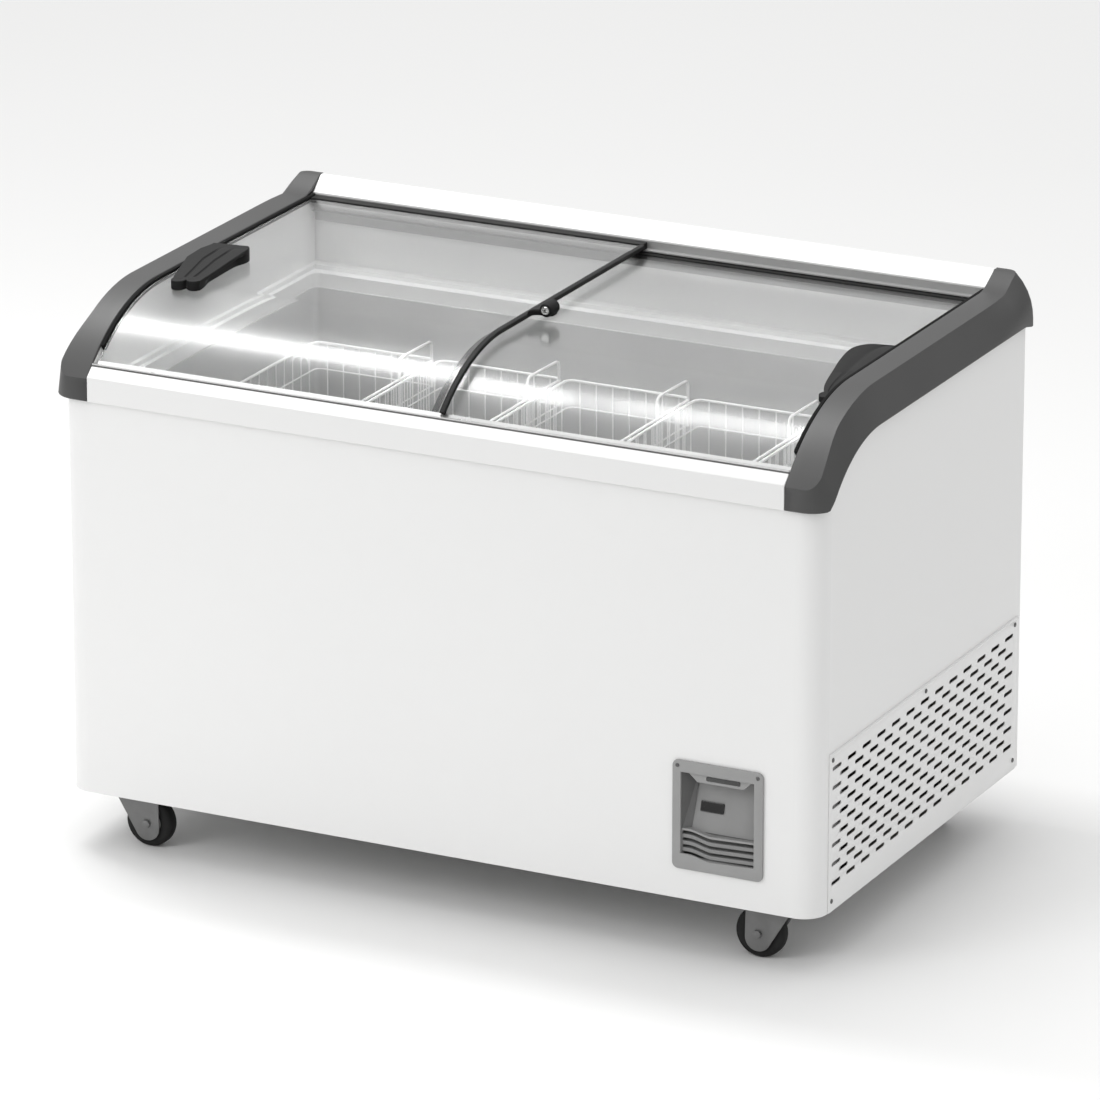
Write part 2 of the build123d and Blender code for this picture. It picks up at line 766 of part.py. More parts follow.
def basket(index):
    """Open wire basket of a floor and four wall lattices; all but the last have lifting loops."""
    cx = (index - (BASKETS - 1) / 2) * BASKET_PITCH
    on_step = index == BASKETS - 1
    low = (STEP_Z if on_step else TANK_FLOOR_Z) + 1
    levels = [low + WIRE, 480, 563, BASKET_RIM_Z - WIRE]
    if not on_step:
        levels[1:1] = [260, 370]
    wide = (cx - BASKET_HALF_W, cx + BASKET_HALF_W)
    deep = (-BASKET_HALF_D, BASKET_HALF_D)
    across = spaced(-BASKET_HALF_D + 12, BASKET_HALF_D - 12, 11)
    along = spaced(cx - BASKET_HALF_W + 12, cx + BASKET_HALF_W - 12, 4)
    half_y = (across[1] - across[0] - WIRE) / 2
    half_x = (along[1] - along[0] - WIRE) / 2
    bays = [(a + WIRE / 2, b - WIRE / 2) for a, b in zip(levels, levels[1:])]
    past_x, past_y = (wide[0] - 1, wide[1] + 1), (deep[0] - 1, deep[1] + 1)
    height = (low, BASKET_RIM_Z)
    end_windows = [box((x - half_x, x + half_x), past_y, z) for x in along for z in bays]
    side_windows = [box(past_x, (y - half_y, y + half_y), z) for y in across for z in bays]
    floor_windows = [
        box((x - half_x, x + half_x), (y - half_y, y + half_y), (low - 1, low + WIRE + 1))
        for x in along
        for y in across
    ]
    inner_x, inner_y = (wide[0] + WIRE, wide[1] - WIRE), (deep[0] + WIRE, deep[1] - WIRE)
    panels = [wire_panel(inner_x, inner_y, (low, low + WIRE), floor_windows)]
    for y in ((deep[0], inner_y[0]), (inner_y[1], deep[1])):
        panels.append(wire_panel(wide, y, height, end_windows))
    for x in ((wide[0], inner_x[0]), (inner_x[1], wide[1])):
        panels.append(wire_panel(x, inner_y, height, side_windows))
    if not on_step:
        panels[-1] = panels[-1] + lifting_loops((inner_x[1], wide[1]))
    return panels


# ---- casters ----
PLATE_T = 3.5
HUB_R = 20.0


def caster_places():
    """(name, x, y, trail) of each caster; trail is the wheel's offset along X."""
    return [
        ("front_left", -CASTER_X, -CASTER_Y, TRAIL),
        ("front_right", CASTER_X, -CASTER_Y, -TRAIL),
        ("rear_left", -CASTER_X, CASTER_Y, TRAIL),
        ("rear_right", CASTER_X, CASTER_Y, -TRAIL),
    ]


def caster_plate(x, y):
    plate = box((x - 45, x + 45), (y - 34, y + 34), (BASE_Z - PLATE_T, BASE_Z))
    holes = [
        rod("Z", (x + dx, y + dy, BASE_Z - 10), 20, 3.6) for dx in (-36, 36) for dy in (-26, 26)
    ]
    return plate - holes


def caster_bolts(x, y):
    return [
        rod("Z", (x + dx, y + dy, BASE_Z - PLATE_T - 4.2), 4, 6)
        for dx in (-36, 36)
        for dy in (-26, 26)
    ]


def caster_fork(x, y, trail):
    """Swivel head and a swept pressed fork, with its wheel bolt."""
    top = BASE_Z - PLATE_T - 0.3
    axle_x = x + trail
    head = rod("Z", (x, y, 84), top - 84, 24)
    crown = rod("Z", (x, y, 80), 4.1, 34)
    reach = math.copysign(1, trail)
    cheeks = []
    for side in (-1, 1):
        outline = Polyline(
            (x - reach * 30, 0, 83),
            (x + reach * 33, 0, 83),
            (axle_x + reach * 14, 0, WHEEL_R),
            (axle_x + reach * 6, 0, WHEEL_R - 13),
            (axle_x - reach * 8, 0, WHEEL_R - 12),
            (x - reach * 30, 0, 83),
        )
        face = Face(Wire(outline.edges()))
        near = y + side * (WHEEL_W / 2 + 2)
        cheek = extrude(face, 2.5, (0, side, 0))
        cheeks.append(Pos(0, near, 0) * cheek)
    bore = rod("Y", (axle_x, y - 30, WHEEL_R), 60, AXLE_R + RUN_FIT)
    fork = head + crown + cheeks - bore
    bolt = rod("Y", (axle_x, y - 16, WHEEL_R), 32, AXLE_R)
    heads = rod("Y", (axle_x, y - 20, WHEEL_R), 4.2, 7) + rod("Y", (axle_x, y + 15.8, WHEEL_R), 4.2, 7)
    return fork, bolt + heads


def caster_hub(x, y):
    hub = rod("Y", (x, y - 10, WHEEL_R), 20, HUB_R) + rod("Y", (x, y - 12.5, WHEEL_R), 25, 9)
    return hub - rod("Y", (x, y - 20, WHEEL_R), 40, AXLE_R + RUN_FIT)


def caster_tyre(x, y):
    ring = rod("Y", (x, y - WHEEL_W / 2, WHEEL_R), WHEEL_W, WHEEL_R)
    ring = fillet(ring.edges().filter_by(GeomType.CIRCLE), 4)
    return ring - rod("Y", (x, y - 20, WHEEL_R), 40, HUB_R)


# ---- write every node ----
os.makedirs("parts", exist_ok=True)

save("outer_cabinet", outer_cabinet())
save("rear_panel", rear_panel())
save("base_tray", base_tray())
save("inner_liner", inner_liner())
save("insulation_foam", *insulation_foam())
save("top_collar", top_collar())
save("front_rail", front_rail())
save("rear_rail", rear_rail())
save("end_cap_left", end_cap(-1))
save("end_cap_right", end_cap(1))
save("front_track", front_track())
save("rear_track", rear_track())
save("side_gaskets", *side_gaskets())
save("control_bezel", control_bezel())
save("control_panel", control_panel())
save("temperature_display", leaning((413, 449), 217.5, 232.5, 2.0, 1.9))
save("louvre_slats", *louvre_slats())
save("side_grille", side_grille())
save("panel_screws", *panel_screws())
save("compressor", compressor())
save("compressor_feet", *compressor_feet())
save("condenser", condenser())
save("fan_shroud", fan_shroud())
save("fan_motor", fan_motor())
save("fan_blade", fan_blade())
save("filter_drier", filter_drier())
save("refrigerant_tubes", *refrigerant_tubes())
save("power_inlet", power_inlet())

left_glass = lid_glass((-LID_X, LEFT_LID_EDGE - 4), UPPER_GLASS_R)
right_glass = lid_glass((RIGHT_LID_EDGE + 4, LID_X), LOWER_GLASS_R)
save("left_glass", left_glass)
save("left_runners", *lid_runners((-LID_X, LEFT_LID_EDGE), UPPER_GLASS_R))
save("left_meeting_trim", meeting_trim((LEFT_LID_EDGE - 8, LEFT_LID_EDGE), UPPER_GLASS_R, left_glass))
save("left_handle", left_handle())
save("lock_body", lock_body())
save("lock_barrel", lock_barrel())
save("right_glass", right_glass)
save("right_runners", *lid_runners((RIGHT_LID_EDGE, LID_X), LOWER_GLASS_R))
save(
    "right_meeting_trim",
    meeting_trim((RIGHT_LID_EDGE, RIGHT_LID_EDGE + 8), LOWER_GLASS_R, right_glass),
)
save("right_handle", right_handle())

for index in range(BASKETS):
    save(f"basket_{index + 1}", *basket(index))

plates = []
bolts = []
for name, x, y, trail in caster_places():
    plates.append(caster_plate(x, y))
    bolts += caster_bolts(x, y)
    save(f"caster_fork_{name}", *caster_fork(x, y, trail))
    save(f"caster_hub_{name}", caster_hub(x + trail, y))
    save(f"caster_tyre_{name}", caster_tyre(x + trail, y))
save("caster_plates", *plates)
save("caster_bolts", *bolts)
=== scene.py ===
import math

import bmesh
import bpy
from mathutils import Matrix, Vector


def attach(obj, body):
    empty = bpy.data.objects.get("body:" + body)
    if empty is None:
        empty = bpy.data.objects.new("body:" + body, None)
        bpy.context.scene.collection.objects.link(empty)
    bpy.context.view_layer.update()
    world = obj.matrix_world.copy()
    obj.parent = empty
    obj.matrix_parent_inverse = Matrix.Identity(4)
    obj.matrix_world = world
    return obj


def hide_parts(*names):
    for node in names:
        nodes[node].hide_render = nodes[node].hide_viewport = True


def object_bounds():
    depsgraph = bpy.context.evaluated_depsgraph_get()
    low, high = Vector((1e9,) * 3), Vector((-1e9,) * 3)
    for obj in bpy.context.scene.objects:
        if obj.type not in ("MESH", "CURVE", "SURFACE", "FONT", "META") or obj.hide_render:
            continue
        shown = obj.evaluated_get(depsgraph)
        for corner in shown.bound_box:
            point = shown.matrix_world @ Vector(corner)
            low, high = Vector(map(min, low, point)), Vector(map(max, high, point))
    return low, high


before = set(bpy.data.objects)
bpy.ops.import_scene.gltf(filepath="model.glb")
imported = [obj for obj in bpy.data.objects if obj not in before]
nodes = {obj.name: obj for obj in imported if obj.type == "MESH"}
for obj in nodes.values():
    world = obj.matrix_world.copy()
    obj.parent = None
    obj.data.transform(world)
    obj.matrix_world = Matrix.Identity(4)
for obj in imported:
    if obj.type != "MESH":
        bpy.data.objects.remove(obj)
cad_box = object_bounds()

# ---- driving dimensions, in metres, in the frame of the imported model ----
CROWN_Y, CROWN_Z = -0.151, 0.545  # axis of the curved top
CAP_R = 0.275
LOW_Y, LOW_Z, LOW_R = -0.178, 0.5685, 0.200  # lower edge of the end caps
UPPER_GLASS_R, LOWER_GLASS_R, GLASS = 0.271, 0.257, 0.004
CAP_X, CAP_Y = cad_box[1].x, cad_box[1].y
CAP_IN_X = 0.549
CREST_X, FRONT_CREST_X = 0.589, 0.598
REAR_SLOPE_Y = 0.322
REAR_TOP_Z = cad_box[1].z
RAIL_BOTTOM_Z = 0.688
HALF_W = 0.600
FRONT_Y = -0.351
RAIL_REACH = 0.5488  # the rails and side seals end here, just inside the end caps
PANE_FRONT_DEG, PANE_REAR_Y = 46.2, 0.318
TRIM_FRONT_DEG, TRIM_REAR_Y = 47.2, 0.3075
LEFT_GRIP_R = 0.2713  # underside of the left grip, just above the upper glass
RIGHT_GRIP_R, RIGHT_GRIP_TOP_R = 0.2573, 0.2653
LID_X = 0.542

# ---- small helpers ----


def ring_point(radius, degrees):
    """(y, z) at an angle that climbs from the front to the top of the crown."""
    angle = math.radians(degrees)
    return (CROWN_Y - radius * math.cos(angle), CROWN_Z + radius * math.sin(angle))


def arc_z(radius, y, centre=(CROWN_Y, CROWN_Z)):
    """Height of a circle at y."""
    return centre[1] + math.sqrt(max(radius**2 - (y - centre[0]) ** 2, 0.0))


def crown_z(radius, y):
    """Height of a curved sheet of the crown at y: an arc in front of the axis, flat behind it."""
    return CROWN_Z + radius if y > CROWN_Y else arc_z(radius, y)


def lerp(a, b, t):
    return a + (b - a) * t


def ease(t):
    t = min(max(t, 0.0), 1.0)
    return t * t * (3 - 2 * t)


def finish_mesh(mesh, sharp=35):
    """Outward normals, smooth shading, and sharp edges only where the surface really turns."""
    bm = bmesh.new()
    bm.from_mesh(mesh)
    bmesh.ops.remove_doubles(bm, verts=bm.verts, dist=2e-5)
    bmesh.ops.dissolve_degenerate(bm, edges=bm.edges, dist=1e-5)
    bmesh.ops.recalc_face_normals(bm, faces=bm.faces)
    bm.to_mesh(mesh)
    bm.free()
    mesh.shade_smooth()
    mesh.set_sharp_from_angle(angle=math.radians(sharp))


def add(name, mesh, body, material, replaces=(), sharp=35):
    """A finished piece that rides on a body and may stand for CAD nodes."""
    finish_mesh(mesh, sharp)
    piece = bpy.data.objects.new(name, mesh)
    bpy.context.scene.collection.objects.link(piece)
    mesh.materials.clear()
    mesh.materials.append(material)
    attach(piece, body)
    if replaces:
        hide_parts(*replaces)
    return piece


def new_mesh(name, verts, faces):
    mesh = bpy.data.meshes.new(name)
    mesh.from_pydata([tuple(v) for v in verts], [], faces)
    return mesh


def soften(piece, width, segments=3, angle=32):
    """Round the edges that turn by more than the angle."""
    bevel = piece.modifiers.new("soft_edges", "BEVEL")
    bevel.width = width
    bevel.segments = segments
    bevel.limit_method = "ANGLE"
    bevel.angle_limit = math.radians(angle)
    bevel.harden_normals = True


def prism(name, outline, x):
    """An outline of (y, z) points run along X from x[0] to x[1]."""
    count = len(outline)
    verts = [(at, y, z) for at in x for y, z in outline]
    sides = [(i, (i + 1) % count, count + (i + 1) % count, count + i) for i in range(count)]
    return new_mesh(name, verts, sides + [tuple(range(count)), tuple(range(count, 2 * count))])


def join_meshes(name, meshes):
    """One mesh made of several."""
    bm = bmesh.new()
    for mesh in meshes:
        bm.from_mesh(mesh)
        bpy.data.meshes.remove(mesh)
    joined = bpy.data.meshes.new(name)
    bm.to_mesh(joined)
    bm.free()
    return joined


def band(name, x, r_in, r_out, front_deg, rear_y, steps=48):
    """A curved sheet of the crown: an arc, then flat to rear_y."""
    angles = [lerp(front_deg, 90, i / steps) for i in range(steps + 1)]
    top = [ring_point(r_out, a) for a in angles]
    under = [ring_point(r_in, a) for a in reversed(angles)]
    if rear_y > CROWN_Y + 0.001:
        top.append((rear_y, CROWN_Z + r_out))
        under.insert(0, (rear_y, CROWN_Z + r_in))
    return prism(name, top + under, x)


def lathe(name, profile, segments=64):
    """(radius, height) points turned about Z. The profile closes on the axis or on itself."""
    verts, faces = [], []
    for i in range(segments):
        a = 2 * math.pi * i / segments
        verts += [(r * math.cos(a), r * math.sin(a), h) for r, h in profile]
    count = len(profile)
    for i in range(segments):
        j = (i + 1) % segments
        for k in range(count):
            m = (k + 1) % count
            if profile[k][0] < 1e-9 and profile[m][0] < 1e-9:
                continue
            faces.append((i * count + k, j * count + k, j * count + m, i * count + m))
    return new_mesh(name, verts, faces)


def plate(name, outlines, thickness, bevel, resolution=2):
    """A flat plate in XY with rounded edges. The outlines after the first are holes."""
    curve = bpy.data.curves.new(name, "CURVE")
    curve.dimensions = "2D"
    curve.fill_mode = "BOTH"
    curve.extrude = max(thickness / 2 - bevel, 1e-5)
    curve.bevel_depth = bevel
    curve.bevel_resolution = resolution
    curve.offset = -bevel
    for outline in outlines:
        spline = curve.splines.new("POLY")
        spline.points.add(len(outline) - 1)
        for point, (x, y) in zip(spline.points, outline):
            point.co = (x, y, 0, 1)
        spline.use_cyclic_u = True
    temporary = bpy.data.objects.new(name, curve)
    bpy.context.scene.collection.objects.link(temporary)
    bpy.context.view_layer.update()
    graph = bpy.context.evaluated_depsgraph_get()
    mesh = bpy.data.meshes.new_from_object(temporary.evaluated_get(graph))
    bpy.data.objects.remove(temporary)
    bpy.data.curves.remove(curve)
    mesh.name = name
    return mesh


def rounded_rectangle(x, y, radius, steps=6):
    """Corner-rounded outline, counter-clockwise."""
    points = []
    corners = ((x[1], y[1], 0), (x[0], y[1], 90), (x[0], y[0], 180), (x[1], y[0], 270))
    for cx, cy, start in corners:
        mx = cx - math.copysign(radius, cx - (x[0] + x[1]) / 2)
        my = cy - math.copysign(radius, cy - (y[0] + y[1]) / 2)
        for i in range(steps + 1):
            a = math.radians(start + 90 * i / steps)
            points.append((mx + radius * math.cos(a), my + radius * math.sin(a)))
    return points


FRONTWARD = Matrix(((1, 0, 0, 0), (0, 0, 1, 0), (0, 1, 0, 0), (0, 0, 0, 1)))  # XY to XZ
SIDEWARD = Matrix(((0, 0, 1, 0), (1, 0, 0, 0), (0, 1, 0, 0), (0, 0, 0, 1)))  # XY to YZ


def wire_curve(name, paths, radius, body, material, replaces=()):
    """Round wires along straight or bent paths."""
    curve = bpy.data.curves.new(name, "CURVE")
    curve.dimensions = "3D"
    curve.bevel_depth = radius
    curve.bevel_resolution = 2
    curve.use_fill_caps = True
    for path, closed in paths:
        spline = curve.splines.new("POLY")
        spline.points.add(len(path) - 1)
        for point, co in zip(spline.points, path):
            point.co = (*co, 1)
        spline.use_cyclic_u = closed
    temporary = bpy.data.objects.new(name, curve)
    bpy.context.scene.collection.objects.link(temporary)
    bpy.context.view_layer.update()
    graph = bpy.context.evaluated_depsgraph_get()
    mesh = bpy.data.meshes.new_from_object(temporary.evaluated_get(graph))
    bpy.data.objects.remove(temporary)
    bpy.data.curves.remove(curve)
    mesh.name = name
    return add(name, mesh, body, material, replaces, sharp=60)


# ---- materials ----


def surface(name, colour, rough, metal=0.0, vary=0.04, scale=6.0, grain=220.0, bump=0.05,
            rough_vary=0.08, **sockets):
    """A procedural material: large soft variation in colour and gloss, and a fine grain in relief."""
    material = bpy.data.materials.new(name)
    material.use_nodes = True
    tree = material.node_tree
    shader = tree.nodes["Principled BSDF"]
    shader.inputs["Metallic"].default_value = metal
    for socket, value in sockets.items():
        shader.inputs[socket.replace("_", " ")].default_value = value
    where = tree.nodes.new("ShaderNodeTexCoord")
    broad = tree.nodes.new("ShaderNodeTexNoise")
    broad.inputs["Scale"].default_value = scale
    broad.inputs["Detail"].default_value = 4
    fine = tree.nodes.new("ShaderNodeTexNoise")
    fine.inputs["Scale"].default_value = grain
    fine.inputs["Detail"].default_value = 3
    tree.links.new(where.outputs["Object"], broad.inputs["Vector"])
    tree.links.new(where.outputs["Object"], fine.inputs["Vector"])
    tint = tree.nodes.new("ShaderNodeValToRGB")
    tint.color_ramp.interpolation = "EASE"
    low, high = tint.color_ramp.elements
    low.position, high.position = 0.2, 0.8
    low.color = (*[c * (1 - vary) for c in colour], 1)
    high.color = (*[min(c * (1 + vary), 1) for c in colour], 1)
    tree.links.new(broad.outputs["Fac"], tint.inputs["Fac"])
    tree.links.new(tint.outputs["Color"], shader.inputs["Base Color"])
    gloss = tree.nodes.new("ShaderNodeMapRange")
    gloss.inputs["To Min"].default_value = max(rough - rough_vary, 0.0)
    gloss.inputs["To Max"].default_value = min(rough + rough_vary, 1.0)
    tree.links.new(broad.outputs["Fac"], gloss.inputs["Value"])
    tree.links.new(gloss.outputs["Result"], shader.inputs["Roughness"])
    relief = tree.nodes.new("ShaderNodeBump")
    relief.inputs["Strength"].default_value = bump
    relief.inputs["Distance"].default_value = 0.0005
    tree.links.new(fine.outputs["Fac"], relief.inputs["Height"])
    tree.links.new(relief.outputs["Normal"], shader.inputs["Normal"])
    return material


def grey(value):
    return (value, value, value * 0.995)


white_paint = surface("white_paint", grey(0.78), 0.34, vary=0.005, scale=2.5, grain=900, bump=0.03)
rail_white = surface("rail_white", grey(0.76), 0.32, vary=0.005, scale=4, grain=600, bump=0.02)
collar_grey = surface("collar_grey", grey(0.88), 0.40, vary=0.03, scale=5, grain=500, bump=0.04)
liner_white = surface("liner_white", grey(0.60), 0.34, metal=0.25, vary=0.04, scale=7, grain=120, bump=0.10)
cap_grey = surface("cap_grey", grey(0.050), 0.46, vary=0.06, scale=9, grain=1400, bump=0.16,
                   rough_vary=0.05)
grip_black = surface("grip_black", grey(0.010), 0.58, vary=0.10, scale=14, grain=1600, bump=0.12,
                     Specular_IOR_Level=0.22)
# Painted shade for the thin gap between the front rail and the track lip.
gap_shade_grey = surface("gap_shade_grey", grey(0.07), 0.55, vary=0.15, scale=20, grain=900, bump=0.15)
seal_black = surface("seal_black", grey(0.008), 0.80, vary=0.15, scale=20, grain=900, bump=0.15,
                     Specular_IOR_Level=0.12)
rear_track_grey = surface("rear_track_grey", grey(0.34), 0.42, metal=0.3, vary=0.06, scale=12, grain=800,
                          bump=0.05)
track_metal = surface("track_metal", grey(0.62), 0.30, metal=0.85, vary=0.05, scale=12, grain=800, bump=0.05)
bezel_grey = surface("bezel_grey", grey(0.29), 0.45, vary=0.04, scale=18, grain=1500, bump=0.12)
recess_grey = surface("recess_grey", grey(0.24), 0.48, vary=0.08, scale=16, grain=1500, bump=0.14)
# Painted shade: a darker grey that stands for the shade on the cheeks of the control recess and behind the
# slats.
recess_painted_shade = surface("recess_painted_shade", grey(0.12), 0.5, vary=0.08, scale=16, grain=1500, bump=0.14)
slat_grey = surface("slat_grey", grey(0.22), 0.45, vary=0.06, scale=16, grain=1500, bump=0.12)
display_black = surface("display_black", grey(0.006), 0.12, vary=0.2, scale=30, grain=300, bump=0.01,
                        Coat_Weight=0.6)
wire_white = surface("wire_white", grey(0.90), 0.35, vary=0.03, scale=25, grain=500, bump=0.06)
screw_grey = surface("screw_grey", grey(0.14), 0.35, metal=0.9, vary=0.08, scale=60, grain=900, bump=0.05)
zinc = surface("zinc", grey(0.52), 0.40, metal=0.9, vary=0.035, scale=22, grain=160, bump=0.06,
               rough_vary=0.04)
fork_grey = surface("fork_grey", grey(0.18), 0.40, metal=0.45, vary=0.10, scale=40, grain=500, bump=0.08)
hub_grey = surface("hub_grey", grey(0.30), 0.5, vary=0.06, scale=40, grain=1200, bump=0.1)
tyre_black = surface("tyre_black", grey(0.012), 0.7, vary=0.25, scale=50, grain=1200, bump=0.25,
                     Specular_IOR_Level=0.25)
foam_cream = surface("foam_cream", (0.72, 0.64, 0.42), 0.85, vary=0.08, scale=20, grain=400, bump=0.5)
copper = surface("copper", (0.60, 0.30, 0.18), 0.3, metal=1.0, vary=0.12, scale=40, grain=400, bump=0.06)
shell_black = surface("shell_black", grey(0.02), 0.35, vary=0.15, scale=20, grain=700, bump=0.1)
key_metal = surface("key_metal", grey(0.45), 0.25, metal=1.0, vary=0.06, scale=80, grain=900, bump=0.04)


def lid_glass_material():
    """Clear toughened glass with a soft sheen where a lamp is mirrored in its bend."""
    return surface("lid_glass", (0.985, 0.99, 0.987), 0.015, vary=0.004, scale=3, grain=40, bump=0.01,
                   rough_vary=0.01, Transmission_Weight=1.0, IOR=1.12, Coat_Weight=1.0,
                   Coat_Roughness=0.24, Coat_IOR=1.5)


glass = lid_glass_material()

CAD_MATERIALS = {
    "outer_cabinet": white_paint, "rear_panel": zinc, "base_tray": zinc, "inner_liner": liner_white,
    "insulation_foam": foam_cream, "front_track": track_metal, "rear_track": rear_track_grey,
    "compressor": shell_black, "compressor_feet": tyre_black, "condenser": zinc,
    "fan_shroud": shell_black, "fan_motor": zinc, "fan_blade": grip_black, "filter_drier": copper,
    "refrigerant_tubes": copper, "power_inlet": grip_black, "caster_plates": zinc,
    "caster_bolts": screw_grey, "top_collar": collar_grey, "rear_rail": rail_white,
    "end_cap_left": cap_grey, "end_cap_right": cap_grey, "front_rail": rail_white,
    "side_gaskets": seal_black, "control_bezel": bezel_grey, "control_panel": recess_grey,
    "temperature_display": display_black, "louvre_slats": recess_grey, "side_grille": white_paint,
    "panel_screws": screw_grey, "left_glass": glass, "left_runners": grip_black,
    "left_meeting_trim": grip_black, "left_handle": grip_black, "lock_body": grip_black,
    "lock_barrel": key_metal, "right_glass": glass, "right_runners": grip_black,
    "right_meeting_trim": grip_black, "right_handle": grip_black,
}
for number in range(1, 6):
    CAD_MATERIALS[f"basket_{number}"] = wire_white
CASTERS = ("front_left", "front_right", "rear_left", "rear_right")
for place in CASTERS:
    CAD_MATERIALS[f"caster_fork_{place}"] = fork_grey
    CAD_MATERIALS[f"caster_hub_{place}"] = hub_grey
    CAD_MATERIALS[f"caster_tyre_{place}"] = tyre_black
for node, material in CAD_MATERIALS.items():
    for material_slot in nodes[node].material_slots:
        material_slot.material = material


# ---- end caps ----


def crest_x(y):
    """The crest flares outwards at the front corner and runs a little inwards to the rear one."""
    if y < CROWN_Y:
        return lerp(CREST_X, FRONT_CREST_X, ease((-0.265 - y) / 0.085))
    return lerp(CREST_X, 0.584, ease((y - 0.250) / 0.090))


def swell(y):
    """How far the side bulges: 1 is flat, and more rounds it over towards the rear corner."""
    return lerp(1.0, 2.8, ease((y - 0.220) / 0.120))


def crest_z(y):
    if y > 0.300:
        t = min((y - 0.300) / 0.052, 1.0)
        return lerp(CROWN_Z + CAP_R, REAR_TOP_Z, 0.5 * t * t + 0.5 * ease(t))
    if y > CROWN_Y:
        return CROWN_Z + CAP_R
    return arc_z(CAP_R, y)


def low_z(y):
    if y > REAR_SLOPE_Y:
        return LOW_Z + LOW_R - 0.0065 * ease((y - REAR_SLOPE_Y) / 0.039)
    if y > LOW_Y:
        return LOW_Z + LOW_R
    return max(arc_z(LOW_R, y, (LOW_Y, LOW_Z)), RAIL_BOTTOM_Z)


def cap_path():
    """(crest x, crest y, lower x, lower y) from the rear corner round to the front one."""
    top_r, rear_r, nose_r, front_r = 0.016, 0.012, 0.018, 0.038
    stations = [(CAP_IN_X, CAP_Y, CAP_IN_X, CAP_Y), (0.5585, CAP_Y, 0.5750, CAP_Y)]
    for i in range(9):
        a = math.radians(90 - 11.25 * i)
        stations.append((0.584 - top_r + top_r * math.cos(a), CAP_Y - top_r + top_r * math.sin(a),
                         CAP_X - rear_r + rear_r * math.cos(a), CAP_Y - rear_r + rear_r * math.sin(a)))
    crests = (CAP_Y - top_r, 0.300, CROWN_Y, -CAP_Y + nose_r)
    lowers = (CAP_Y - rear_r, 0.300, CROWN_Y, -CAP_Y + front_r)
    for part, count in enumerate((9, 14, 24)):
        for i in range(1, count + 1):
            y = lerp(crests[part], crests[part + 1], i / count)
            stations.append((crest_x(y), y, CAP_X, lerp(lowers[part], lowers[part + 1], i / count)))
    for i in range(1, 13):
        a = math.radians(7.5 * i)
        stations.append((FRONT_CREST_X - nose_r + nose_r * math.cos(a),
                         -CAP_Y + nose_r - nose_r * math.sin(a),
                         CAP_X - front_r + front_r * math.cos(a),
                         -CAP_Y + front_r - front_r * math.sin(a)))
    stations.append((CAP_IN_X, -CAP_Y, CAP_IN_X, -CAP_Y))
    return stations


def end_cap(side):
    """Moulded cover: a crest, a side that falls away, a turned-in lower lip and an inner edge."""
    columns = 6
    lip = 0.0095
    verts, faces, rows = [], [], []
    for cx, cy, lx, ly in cap_path():
        top = Vector((cx, cy, crest_z(cy)))
        low = Vector((lx, ly, low_z(ly)))
        inner = Vector((CAP_IN_X, cy, top.z))
        inward = Vector((min(HALF_W + 0.0012, max(lx - lip, CAP_IN_X)),
                         min(max(ly, FRONT_Y - 0.0012), CAP_Y - 0.0025), low.z))
        points = [Vector((CAP_IN_X, cy, top.z - 0.006)), inner, inner.lerp(top, 0.33),
                  inner.lerp(top, 0.66)]
        for i in range(columns + 1):
            across = 1 - (1 - i / columns) ** swell(cy)
            points.append(Vector((lerp(top.x, low.x, across), lerp(top.y, low.y, across),
                                  lerp(top.z, low.z, i / columns))))
        points.append(inward)
        rows.append(list(range(len(verts), len(verts) + len(points))))
        verts += points
    for a, b in zip(rows, rows[1:]):
        for i in range(len(a) - 1):
            faces.append((a[i], a[i + 1], b[i + 1], b[i]))
    mesh = new_mesh(f"cap_{side}", verts, faces)
    bm = bmesh.new()
    bm.from_mesh(mesh)
    lines = {row[4]: 0.0070 for row in rows}
    lines.update({row[1]: 0.0018 for row in rows})
    lines.update({row[4 + columns]: 0.0024 for row in rows})
    groups = {}
    for edge in bm.edges:
        widths = {lines.get(v.index) for v in edge.verts}
        if len(widths) == 1 and None not in widths and edge.calc_length() > 1e-5:
            groups.setdefault(widths.pop(), []).append(edge)
    for width in sorted(groups, reverse=True):
        alive = [e for e in groups[width] if e.is_valid]
        bmesh.ops.bevel(bm, geom=alive, offset=width, segments=5, profile=0.5, affect="EDGES",
                        clamp_overlap=True)
    bm.to_mesh(mesh)
    bm.free()
    if side == "left":
        mesh.transform(Matrix.Scale(-1, 4, (1, 0, 0)))
    piece = add(f"cap_{side}", mesh, "cabinet", cap_grey, [f"end_cap_{side}"], sharp=40)
    wall = piece.modifiers.new("wall", "SOLIDIFY")
    wall.thickness = 0.0025
    wall.offset = -1
    full = piece.vertex_groups.new(name="full_wall")
    full.add([v.index for v in mesh.vertices
              if abs(v.co.x) > CAP_IN_X + 0.0035 or abs(v.co.y) < CAP_Y - 0.0030], 1.0, "REPLACE")
    wall.vertex_group = "full_wall"
    wall.thickness_vertex_group = 0.08


for side in ("left", "right"):
    end_cap(side)

# ---- rails and running gear of the lids ----


